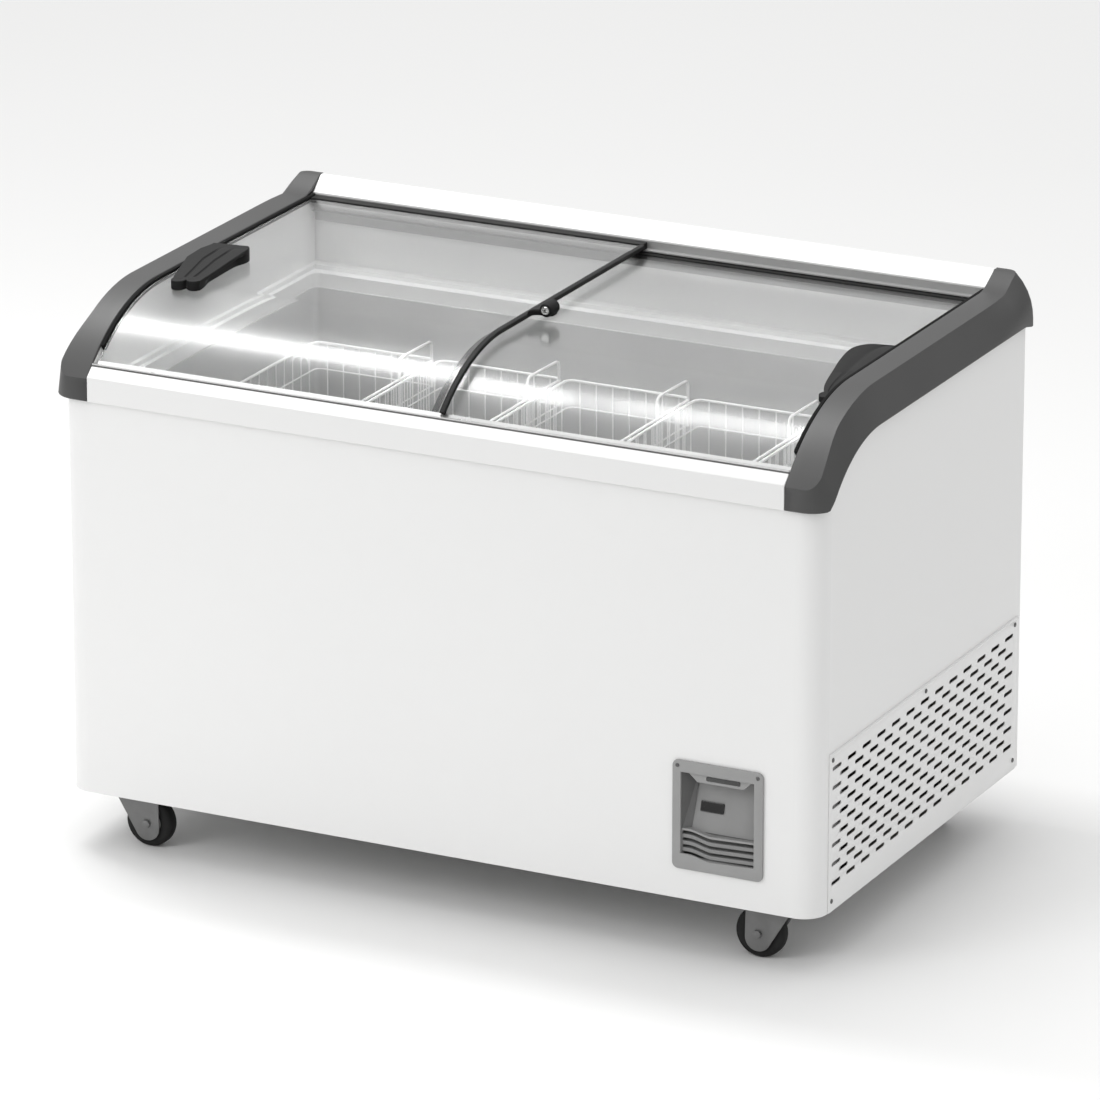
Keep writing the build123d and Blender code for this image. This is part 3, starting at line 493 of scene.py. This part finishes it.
def rails():
    front = [(-0.361, 0.688), (-0.361, 0.7246), (-0.358, 0.7276), (-0.3453, 0.738), (-0.3453, 0.7123),
             (-0.3513, 0.7123), (-0.3513, 0.688)]
    rear = [(0.3275, 0.818), (0.3275, 0.8205), (0.330, 0.822), (0.352, 0.841), (0.356, 0.8415),
            (0.361, 0.8385), (0.361, 0.762), (0.358, 0.762), (0.358, 0.838), (0.354, 0.838), (0.331, 0.818)]
    reach = (-RAIL_REACH, RAIL_REACH)
    piece = add("rail_front", prism("rail_front", front, reach), "cabinet", rail_white,
                ["front_rail"])
    soften(piece, 0.0012)
    piece = add("rail_rear", prism("rail_rear", rear, reach), "cabinet", rail_white,
                ["rear_rail"])
    soften(piece, 0.0005)
    # A thin dark strip in the gap between the rail and the track lip: painted shade of that gap.
    strip = [(-0.3462, 0.7370), (-0.3462, 0.7384), (-0.3452, 0.7392), (-0.34485, 0.7392), (-0.34485, 0.7370)]
    add("rail_gap_shade", prism("rail_gap_shade", strip, reach), "cabinet", gap_shade_grey)
    seals = [band("seal", x, 0.262, 0.2745, 52, 0.325, 40)
             for x in ((-RAIL_REACH, -0.543), (0.543, RAIL_REACH))]
    piece = add("seal_pair", join_meshes("seal_pair", seals), "cabinet", seal_black,
                ["side_gaskets"])
    soften(piece, 0.0015)


def runner_bars(side, x, radius):
    """Pale shoe along the front edge of one lid, and the black bar along its rear edge."""
    angles = (45.2, 45.8, 46.4, 47.0)
    outline = [ring_point(radius + 0.0015, a) for a in angles]
    outline += [ring_point(radius - 0.007, a) for a in reversed(angles)]
    top = CROWN_Z + radius
    rear = [(0.308, top - 0.0088), (0.324, top - 0.0088), (0.324, top + 0.0015), (0.308, top + 0.0015)]
    shoe = add(f"{side}_front_shoe", prism("shoe", outline, x), f"{side}_lid",
               rail_white)
    soften(shoe, 0.0007)
    bar = add(f"{side}_rear_bar", prism("bar", rear, x), f"{side}_lid", grip_black,
              [f"{side}_runners"])
    soften(bar, 0.0007)


def lids():
    for side, x, trim_x, radius in (
        ("left", (-LID_X, 0.008), (0.004, 0.012), UPPER_GLASS_R),
        ("right", (-0.011, LID_X), (-0.015, -0.007), LOWER_GLASS_R),
    ):
        pane = band(f"{side}_pane", x, radius - GLASS, radius, PANE_FRONT_DEG, PANE_REAR_Y, 64)
        piece = add(f"{side}_pane", pane, f"{side}_lid", glass, [f"{side}_glass"])
        soften(piece, 0.0006, 2)
        trim = band(f"{side}_trim", trim_x, radius - 0.005, radius + 0.0015, TRIM_FRONT_DEG, TRIM_REAR_Y)
        piece = add(f"{side}_trim", trim, f"{side}_lid", grip_black,
                    [f"{side}_meeting_trim"])
        soften(piece, 0.0011)
        runner_bars(side, x, radius)


# ---- handles and lock ----


def loft(name, sections):
    """Closed skin through sections that all have the same number of points."""
    count = len(sections[0])
    verts = [p for section in sections for p in section]
    faces = []
    for row in range(len(sections) - 1):
        for i in range(count):
            j = (i + 1) % count
            a, b = row * count, (row + 1) * count
            faces.append((a + i, a + j, b + j, b + i))
    last = (len(sections) - 1) * count
    return new_mesh(name, verts, faces + [tuple(range(count)), tuple(range(last, last + count))])


def handle_top(x, y):
    """The top of the left grip falls a little towards the front and towards the end cap."""
    return lerp(0.8285, 0.8365, (y + 0.190) / 0.18) + lerp(-0.0025, 0.0010, (x + 0.540) / 0.075)


def left_handle():
    left = ((-0.020, -0.532), (-0.040, -0.5385), (-0.080, -0.5385), (-0.130, -0.5235), (-0.1775, -0.509))
    right = ((-0.012, -0.474), (-0.020, -0.4675), (-0.080, -0.4665), (-0.130, -0.4645), (-0.1775, -0.4640))

    def side_x(table, y):
        points = sorted(table)
        for (y0, x0), (y1, x1) in zip(points, points[1:]):
            if y <= y1:
                return lerp(x0, x1, max(y - y0, 0) / (y1 - y0))
        return points[-1][1]

    sections = []
    for i in range(25):
        y = lerp(-0.1775, -0.012, i / 24)
        xl, xr = side_x(left, y), side_x(right, y)
        base = crown_z(LEFT_GRIP_R, y)
        groove = 0.0022 * ease((y + 0.1775) / 0.012) * ease((-0.030 - y) / 0.015)
        scoop = 0.0075 * ease((y + 0.165) / 0.03) * ease((-0.030 - y) / 0.025)
        section = [(xl, y, base), (xl, y, handle_top(xl, y))]
        for t in (0.40, 0.68):
            gx = lerp(xl, xr, t)
            for dx, depth in ((-0.0030, 0), (-0.0016, groove), (0.0016, groove), (0.0030, 0)):
                section.append((gx + dx, y, handle_top(gx, y) - depth))
        top = handle_top(xr, y)
        section += [(xr, y, top), (xr, y, top - 0.005), (xr - scoop, y, top - 0.008),
                    (xr - scoop, y, base + 0.002), (xr - scoop * 0.8, y, base)]
        sections.append(section)
    parts = [loft("grip", sections)]
    for x, y, radius in ((-0.4985, -0.1765, 0.0115), (-0.4755, -0.1715, 0.0115)):
        outline = [(x + radius * math.cos(a), y + radius * math.sin(a))
                   for a in [2 * math.pi * i / 32 for i in range(32)]]
        top = [(px, py, handle_top(px, py)) for px, py in outline]
        base = [(px, py, crown_z(LEFT_GRIP_R, py)) for px, py in outline]
        parts.append(loft("lobe", [base, top]))
    piece = add("left_grip", join_meshes("left_grip", parts), "left_lid", grip_black,
                ["left_handle"], sharp=50)
    soften(piece, 0.0014)


def right_handle():
    """Low grip that follows the lower lid and reaches in furthest near its rear end."""
    edge = ((-0.2040, 0.5405), (-0.1800, 0.5240), (-0.1450, 0.5125), (-0.0950, 0.5000), (-0.0500, 0.4890),
            (-0.0050, 0.4815), (0.0200, 0.4840), (0.0370, 0.4960), (0.0425, 0.5150), (0.0430, 0.5300))

    def smooth_edge(t):
        """Catmull-Rom through the edge points."""
        span = t * (len(edge) - 1)
        i = min(int(span), len(edge) - 2)
        u = span - i
        p = [Vector(edge[min(max(k, 0), len(edge) - 1)]) for k in (i - 1, i, i + 1, i + 2)]
        return 0.5 * ((2 * p[1]) + (p[2] - p[0]) * u + (2 * p[0] - 5 * p[1] + 4 * p[2] - p[3]) * u**2
                      + (3 * p[1] - p[0] - 3 * p[2] + p[3]) * u**3)

    sections = []
    for i in range(49):
        y, inner = smooth_edge(i / 48)
        section = []
        for t, radius in ((0, RIGHT_GRIP_R), (0, RIGHT_GRIP_TOP_R), (0.42, RIGHT_GRIP_TOP_R), (0.47, 0.2640),
                          (0.56, 0.2640), (0.61, 0.2651), (1, 0.2644), (1, RIGHT_GRIP_R)):
            section.append((lerp(LID_X, inner, t), y, crown_z(radius, y)))
        sections.append(section)
    lobe = []
    for radius in (RIGHT_GRIP_R, RIGHT_GRIP_TOP_R):
        ring = []
        for i in range(24):
            a = 2 * math.pi * i / 24
            y = -0.196 + 0.0085 * math.sin(a)
            ring.append((min(0.533 + 0.0085 * math.cos(a), LID_X), y, crown_z(radius, y)))
        lobe.append(ring)
    parts = [loft("grip", sections), loft("lobe", lobe)]
    piece = add("right_grip", join_meshes("right_grip", parts), "right_lid", grip_black,
                ["right_handle"], sharp=50)
    soften(piece, 0.0009)


LOCK = Vector((0.0345, -0.051, 0.8225))
ALONG_Y = Matrix.Rotation(math.radians(90), 4, "X")  # Z to -Y


def lock():
    """Round housing on a filleted neck, and a slotted key barrel."""
    profile = [(0.0, -0.0145), (0.0092, -0.0145), (0.0105, -0.0125), (0.0105, 0.0105), (0.0093, 0.0128),
               (0.0072, 0.0130), (0.0067, 0.0124), (0.0067, -0.0060), (0.0, -0.0060)]
    housing = lathe("housing", profile, 48)
    housing.transform(Matrix.Translation(LOCK) @ ALONG_Y)
    shape = [(0.0122, -0.0755), (0.0140, -0.0690), (0.0175, -0.0645), (0.0225, -0.0618), (0.0300, -0.0610),
             (0.0400, -0.0610), (0.0440, -0.0570), (0.0440, -0.0440), (0.0400, -0.0395), (0.0260, -0.0385),
             (0.0185, -0.0355), (0.0145, -0.0310), (0.0122, -0.0260)]
    neck = plate("neck", [shape], 0.0090, 0.0018)
    neck.transform(Matrix.Translation((0, 0, 0.8176)))
    piece = add("lock_housing", join_meshes("lock_housing", [housing, neck]), "left_lid",
                grip_black, ["lock_body"], sharp=40)
    soften(piece, 0.0004, 2)
    face = [(0.0, 0.0), (0.0064, 0.0), (0.0064, 0.0180), (0.0057, 0.0190), (0.0034, 0.0190),
            (0.0030, 0.0186), (0.0, 0.0184)]
    barrel = lathe("barrel", face, 40)
    barrel.transform(Matrix.Translation(LOCK + Vector((0, 0.0045, 0))) @ ALONG_Y)
    # A black plate in the barrel face paints the shade inside the key slot.
    keyway_shade = plate("keyway_shade", [rounded_rectangle((-0.0005, 0.0005), (-0.0024, 0.0024), 0.0004, 3)],
                   0.0006, 0.0001)
    keyway_shade.transform(Matrix.Translation(LOCK + Vector((0, -0.0141, 0))) @ FRONTWARD)
    add("key_barrel", barrel, "lock_key", key_metal, ["lock_barrel"], sharp=40)
    add("keyway_shade", keyway_shade, "lock_key", seal_black)


# ---- baskets ----
BASKET_HALF_W, BASKET_HALF_D, BASKET_RIM, LOOP_Z = 0.103, 0.285, 0.606, 0.639


def round_path(x, y, z, radius, steps=4):
    return [(px, py, z) for px, py in rounded_rectangle(x, y, radius, steps)]


def bent(points, radius):
    """A path with its inner corners cut by a small arc of three points."""
    out = [points[0]]
    for before, corner, after in zip(points, points[1:], points[2:]):
        c = Vector(corner)
        inward = c + (Vector(before) - c).normalized() * radius
        outward = c + (Vector(after) - c).normalized() * radius
        middle = (inward + outward) / 2
        out += [inward, middle.lerp(c, 0.41), outward]
    return out + [points[-1]]


def basket(number):
    cx = (number - 3) * 0.211
    floor = 0.385 if number == 5 else 0.151
    hw, hd = BASKET_HALF_W, BASKET_HALF_D
    thin, thick = 0.0011, 0.0023
    inner = thin + thick
    heavy = [(round_path((cx - hw + thick, cx + hw - thick), (-hd + thick, hd - thick), BASKET_RIM - thick,
                         0.012), True)]
    for sy in (-1, 1) if number < 5 else ():
        x = cx + hw - thick
        ends = (sy * 0.168, sy * 0.272)
        top = LOOP_Z - thick
        points = [(x, ends[0], 0.563), (x, ends[0], top), (x, ends[1], top), (x, ends[1], 0.563)]
        heavy.append((bent(points, 0.008), False))
    light = []
    for level in (0.563, 0.480, 0.370, 0.260, floor + 0.020):
        if level > floor:
            edge = hw - thick - inner
            deep = hd - thick - inner
            light.append((round_path((cx - edge, cx + edge), (-deep, deep), level, 0.010), True))
    low, high = floor + thin, BASKET_RIM - 2 * thick
    for i in range(7):
        x = cx + (i - 3) * 0.027
        deep = hd - thick
        light.append((bent([(x, -deep, high), (x, -deep, low), (x, deep, low), (x, deep, high)], 0.006),
                      False))
    for i in range(21):
        y = (i - 10) * 0.0262
        wide = hw - thick
        ends = [(cx - wide, y, high), (cx - wide, y, low + 2 * thin), (cx + wide, y, low + 2 * thin),
                (cx + wide, y, high)]
        light.append((bent(ends, 0.006), False))
    wire_curve(f"basket_{number}_rim", heavy, thick, f"wire_basket_{number}", wire_white,
               [f"basket_{number}"])
    wire_curve(f"basket_{number}_mesh", light, thin, f"wire_basket_{number}", wire_white)


# ---- control panel ----
PANEL_X, PANEL_Z = (0.378, 0.518), (0.134, 0.296)
OPEN_X, OPEN_Z = (0.391, 0.504), (0.150, 0.2785)


def wave(x):
    """The divider, the slats and the lower edge of the opening share one shallow S."""
    return -0.0066 * ease((x - 0.402) / 0.036) + 0.0024 * max((x - 0.438) / 0.066, 0.0)


def s_strip(name, z, height, y_front, y_back, steps=40):
    """A bar that follows the shallow S from side to side."""
    sections = []
    for i in range(steps + 1):
        x = lerp(OPEN_X[0] + 0.0003, OPEN_X[1] - 0.0003, i / steps)
        low = z + wave(x)
        sections.append([(x, y_front, low), (x, y_back, low), (x, y_back, low + height),
                         (x, y_front, low + height)])
    return loft(name, sections)


def control_panel():
    outer = rounded_rectangle(PANEL_X, PANEL_Z, 0.009, 8)
    steps = 36
    across = [lerp(OPEN_X[0], OPEN_X[1], i / steps) for i in range(steps + 1)]
    lower = [(x, 0.1570 + wave(x)) for x in across]
    hole = [(OPEN_X[1], OPEN_Z[1]), (OPEN_X[0], OPEN_Z[1])] + lower
    bezel = plate("bezel", [outer, hole[::-1]], 0.0039, 0.0011)
    bezel.transform(Matrix.Translation((0, -0.35305, 0)) @ FRONTWARD)
    add("bezel", bezel, "cabinet", bezel_grey, ["control_bezel"], sharp=50)
    low, high = OPEN_Z
    tub = [(-0.3510, low), (-0.3210, low), (-0.3210, 0.1870), (-0.3430, 0.1900), (-0.3230, high - 0.0120),
           (-0.3230, high), (-0.3510, high)]
    verts, faces = [], []
    for x in OPEN_X:
        verts += [(x, y, z) for y, z in tub]
    count = len(tub)
    for i in range(count - 1):
        faces.append((i, i + 1, count + i + 1, count + i))
    faces += [tuple(range(count)), tuple(range(2 * count - 1, count - 1, -1))]
    recess = new_mesh("recess", verts, faces)
    piece = add("recess", recess, "cabinet", recess_grey, ["control_panel"], sharp=25)
    wall = piece.modifiers.new("wall", "SOLIDIFY")
    wall.thickness = 0.0015
    wall.offset = 1
    sides = []
    for edge, lean in ((OPEN_X[0], 0.016), (OPEN_X[1], -0.007)):
        foot = [(edge, -0.3509, 0.1905), (edge + lean * 0.75, -0.3432, 0.1905), (edge, -0.3432, 0.1905)]
        head = [(edge, -0.3509, high - 0.0005), (edge + lean, -0.3232, high - 0.0005),
                (edge, -0.3232, high - 0.0005)]
        sides.append(loft("cheek", [foot, head]))
    # The cheeks are painted darker than the recess back, as painted shade.
    add("recess_cheeks", join_meshes("recess_cheeks", sides), "cabinet", recess_painted_shade)
    divider = s_strip("divider", 0.1905, 0.0034, -0.3512, -0.3420)
    piece = add("divider", divider, "cabinet", bezel_grey)
    soften(piece, 0.0009)
    slats = [s_strip("slat", 0.1592 + 0.0102 * row, 0.0056, -0.3500, -0.3420) for row in range(3)]
    piece = add("slats", join_meshes("slats", slats), "cabinet", slat_grey,
                ["louvre_slats"])
    soften(piece, 0.0008)
    # A dark sheet behind the slats: painted shade that shows between them.
    shade = new_mesh("vent_painted_shade", [(OPEN_X[0], -0.3425, low + 0.0005), (OPEN_X[1], -0.3425, low + 0.0005),
                                   (OPEN_X[1], -0.3425, 0.1895), (OPEN_X[0], -0.3425, 0.1895)],
                     [(0, 1, 2, 3)])
    piece = add("vent_painted_shade", shade, "cabinet", recess_painted_shade)
    wall = piece.modifiers.new("wall", "SOLIDIFY")
    wall.thickness = 0.0010
    brow_z = high - 0.0131
    brow = plate("brow", [[(0.400, high), (0.500, high), (0.4865, brow_z), (0.4150, brow_z)]],
                 0.0060, 0.0012)
    brow.transform(Matrix.Translation((0, -0.3480, 0)) @ FRONTWARD)
    add("brow", brow, "cabinet", bezel_grey, sharp=50)
    # A black plate in the brow that paints the shade inside its slot.
    slot_z = (high - 0.0085, high - 0.0020)
    slot = plate("brow_slot_shade", [rounded_rectangle((0.4290, 0.4815), slot_z, 0.0020, 4)],
                 0.0012, 0.0004)
    slot.transform(Matrix.Translation((0, -0.3513, 0)) @ FRONTWARD)
    add("brow_slot_shade", slot, "cabinet", display_black)
    lean = Matrix.Rotation(math.atan2(0.020, high - 0.202), 4, "X")
    face = plate("display", [rounded_rectangle((-0.018, 0.018), (-0.0076, 0.0076), 0.0015, 4)],
                 0.0022, 0.0004)
    face.transform(Matrix.Translation((0.4312, -0.3344, 0.2252)) @ lean.inverted() @ FRONTWARD)
    add("display", face, "cabinet", display_black, ["temperature_display"])


# ---- side grille and screws ----


def slot_outline(y, z, half, height, steps=5):
    """A round-ended slot."""
    radius = height / 2
    points = []
    for i in range(steps + 1):
        a = math.radians(-90 + 180 * i / steps)
        points.append((y + half - radius + radius * math.cos(a), z + radius * math.sin(a)))
    for i in range(steps + 1):
        a = math.radians(90 + 180 * i / steps)
        points.append((y - half + radius + radius * math.cos(a), z + radius * math.sin(a)))
    return points


def grille():
    outlines = [rounded_rectangle((-0.315, 0.340), (0.088, 0.323), 0.0015, 3)]
    for row in range(13):
        odd = row % 2
        for column in range(13 - odd):
            y = -0.290 + 0.025 * odd + 0.050 * column
            outlines.append(slot_outline(y, 0.129 + 0.01425 * row, 0.0150, 0.0060)[::-1])
    sheet = plate("grille", outlines, 0.0014, 0.0002, 1)
    sheet.transform(Matrix.Translation((HALF_W + 0.0008, 0, 0)) @ SIDEWARD)
    lip = [(HALF_W + 0.0001, 0.3220), (HALF_W + 0.0040, 0.3220), (HALF_W + 0.0040, 0.3232),
           (HALF_W + 0.0016, 0.3240), (HALF_W + 0.0001, 0.3240)]
    edge = loft("lip", [[(x, y, z) for x, z in lip] for y in (-0.315, 0.340)])
    add("grille", join_meshes("grille", [sheet, edge]), "cabinet", white_paint,
        ["side_grille"], sharp=40)


def screws():
    """Domed heads with a round recess in the middle."""
    heads = []
    for x in (0.386, 0.510):
        heads.append(screw(Matrix.Translation((x, -0.35505, PANEL_Z[1] - 0.008)) @ ALONG_Y, 0.0030, 0.0011))
    turn = Matrix.Rotation(math.radians(90), 4, "Y")
    for y, z in ((-0.305, 0.104), (0.330, 0.104), (-0.305, 0.314), (0.012, 0.314), (0.330, 0.314)):
        heads.append(screw(Matrix.Translation((HALF_W + 0.0016, y, z)) @ turn, 0.0035, 0.0016))
    add("screw_heads", join_meshes("screw_heads", heads), "cabinet", screw_grey,
        ["panel_screws"], sharp=40)


def screw(matrix, radius, height):
    profile = [(0.0, 0.0), (radius, 0.0), (radius, height * 0.35), (radius * 0.9, height * 0.7),
               (radius * 0.62, height * 0.95), (radius * 0.34, height), (radius * 0.22, height * 0.45),
               (0.0, height * 0.35)]
    mesh = lathe("screw", profile, 24)
    mesh.transform(matrix)
    return mesh


# ---- casters ----
WHEEL_R, WHEEL_W, CASTER_X, CASTER_Y, TRAIL = 0.0375, 0.022, 0.516, 0.295, 0.025


def hull(circles, steps=28):
    """Outline of the convex hull of circles (x, y, radius)."""
    points = sorted((cx + r * math.cos(2 * math.pi * i / steps), cy + r * math.sin(2 * math.pi * i / steps))
                    for cx, cy, r in circles for i in range(steps))

    def half(sequence):
        chain = []
        for p in sequence:
            while len(chain) > 1 and ((chain[-1][0] - chain[-2][0]) * (p[1] - chain[-2][1])
                                      - (chain[-1][1] - chain[-2][1]) * (p[0] - chain[-2][0])) <= 1e-12:
                chain.pop()
            chain.append(p)
        return chain[:-1]

    return half(points) + half(points[::-1])


def caster(place, x, y, trail):
    reach = math.copysign(1, trail)
    axle = Vector((x + trail, y, WHEEL_R))
    cheek = hull([(x - reach * 0.024, 0.0795, 0.003), (axle.x + reach * 0.016, 0.0795, 0.003),
                  (axle.x, WHEEL_R - 0.0065, 0.0200)])
    parts = []
    for side in (-1, 1):
        sheet = plate("cheek", [cheek], 0.0025, 0.0006)
        sheet.transform(Matrix.Translation((0, y + side * 0.01425, 0)) @ FRONTWARD)
        parts.append(sheet)
    crown = [(0.0, 0.0800), (0.0270, 0.0800), (0.0305, 0.0808), (0.0305, 0.0828), (0.0280, 0.0842),
             (0.0240, 0.0860), (0.0240, 0.0950), (0.0225, 0.0984), (0.0, 0.0984)]
    mesh = lathe("crown", crown, 48)
    mesh.transform(Matrix.Translation((x, y, 0)))
    parts.append(mesh)
    bridge = plate("bridge", [hull([(x - reach * 0.022, y, 0.0155), (axle.x, y, 0.0155)])], 0.0030, 0.0008)
    bridge.transform(Matrix.Translation((0, 0, 0.0812)))
    parts.append(bridge)
    for side in (-1, 1):
        hexagon = [(0.0065 * math.cos(math.radians(60 * i)), 0.0065 * math.sin(math.radians(60 * i)))
                   for i in range(6)]
        nut = plate("nut", [hexagon], 0.0040, 0.0006)
        nut.transform(Matrix.Translation((axle.x, y + side * 0.0176, WHEEL_R)) @ FRONTWARD)
        parts.append(nut)
    add(f"fork_{place}", join_meshes(f"fork_{place}", parts), f"swivel_{place}",
        fork_grey, [f"caster_fork_{place}"], sharp=40)
    half = WHEEL_W / 2
    hub = [(0.0043, -0.0125), (0.0085, -0.0125), (0.0090, -0.0100), (0.0150, -0.0085), (0.0165, -0.0098),
           (0.0185, -0.0104), (0.0196, -0.0098), (0.0196, 0.0098), (0.0185, 0.0104), (0.0165, 0.0098),
           (0.0150, 0.0085), (0.0090, 0.0100), (0.0085, 0.0125), (0.0043, 0.0125)]
    mesh = lathe("hub", hub, 56)
    mesh.transform(Matrix.Translation(axle) @ ALONG_Y)
    add(f"hub_{place}", mesh, f"wheel_{place}", hub_grey, [f"caster_hub_{place}"], sharp=40)
    tyre = [(0.0197, -half + 0.001), (0.0240, -half), (0.0300, -half), (0.0345, -half + 0.0008),
            (0.0366, -half + 0.0030), (WHEEL_R, -half + 0.0062), (WHEEL_R, half - 0.0062),
            (0.0366, half - 0.0030), (0.0345, half - 0.0008), (0.0300, half), (0.0240, half),
            (0.0197, half - 0.001)]
    mesh = lathe("tyre", tyre, 96)
    mesh.transform(Matrix.Translation(axle) @ ALONG_Y)
    add(f"tyre_{place}", mesh, f"wheel_{place}", tyre_black, [f"caster_tyre_{place}"],
        sharp=40)


rails()
lids()
left_handle()
right_handle()
lock()
for number in range(1, 6):
    basket(number)
control_panel()
grille()
screws()
for place, x, y, trail in (("front_left", -CASTER_X, -CASTER_Y, TRAIL),
                           ("front_right", CASTER_X, -CASTER_Y, -TRAIL),
                           ("rear_left", -CASTER_X, CASTER_Y, TRAIL),
                           ("rear_right", CASTER_X, CASTER_Y, -TRAIL)):
    caster(place, x, y, trail)

# ---- stage, light and camera ----


def stage_floor():
    mesh = new_mesh("floor", [(-9, -7, 0), (9, -7, 0), (9, 11, 0), (-9, 11, 0)], [(0, 1, 2, 3)])
    floor = bpy.data.objects.new("floor", mesh)
    bpy.context.scene.collection.objects.link(floor)
    mesh.materials.append(surface("floor_pale", grey(0.86), 0.6, vary=0.004, scale=0.6, grain=50, bump=0.0))


def area_light(name, place, target, size, power):
    light = bpy.data.lights.new(name, "AREA")
    light.shape = "RECTANGLE"
    light.size, light.size_y = size
    light.energy = power
    lamp = bpy.data.objects.new(name, light)
    lamp.location = place
    lamp.rotation_mode = "QUATERNION"
    lamp.rotation_quaternion = (Vector(target) - Vector(place)).to_track_quat("-Z", "Y")
    bpy.context.scene.collection.objects.link(lamp)


def sky(horizon, zenith):
    """Plain white sky that is brighter overhead."""
    world = bpy.data.worlds.new("studio")
    bpy.context.scene.world = world
    world.use_nodes = True
    tree = world.node_tree
    where = tree.nodes.new("ShaderNodeTexCoord")
    split = tree.nodes.new("ShaderNodeSeparateXYZ")
    ramp = tree.nodes.new("ShaderNodeMapRange")
    ramp.inputs["To Min"].default_value = horizon
    ramp.inputs["To Max"].default_value = zenith
    tree.links.new(where.outputs["Generated"], split.inputs["Vector"])
    tree.links.new(split.outputs["Z"], ramp.inputs["Value"])
    tree.links.new(ramp.outputs["Result"], tree.nodes["Background"].inputs["Strength"])
    tree.nodes["Background"].inputs["Color"].default_value = (1, 1, 1, 1)


def studio():
    sky(0.40, 1.24)
    area_light("key", (-2.6, -4.8, 3.4), (0, 0, 0.4), (2.5, 2.5), 78)
    area_light("strip", (-1.35, 0.20, 2.60), (-1.35, -0.27, 0.79), (1.3, 0.42), 24)
    area_light("strip_right", (-0.02, 0.20, 2.60), (-0.02, -0.27, 0.79), (1.2, 0.42), 14)


def camera():
    data = bpy.data.cameras.new("camera")
    data.lens = 265.8
    data.sensor_width = 36
    data.clip_end = 100
    cam = bpy.data.objects.new("camera", data)
    azimuth, elevation = math.radians(26.51), math.radians(18.82)
    back = Vector((math.sin(azimuth) * math.cos(elevation), -math.cos(azimuth) * math.cos(elevation),
                   math.sin(elevation)))
    cam.location = (4.97347, -9.95043, 4.22932)
    cam.rotation_mode = "QUATERNION"
    cam.rotation_quaternion = (-back).to_track_quat("-Z", "Y")
    bpy.context.scene.collection.objects.link(cam)
    bpy.context.scene.camera = cam


stage_floor()
studio()
camera()
bpy.context.scene.view_settings.view_transform = "Standard"
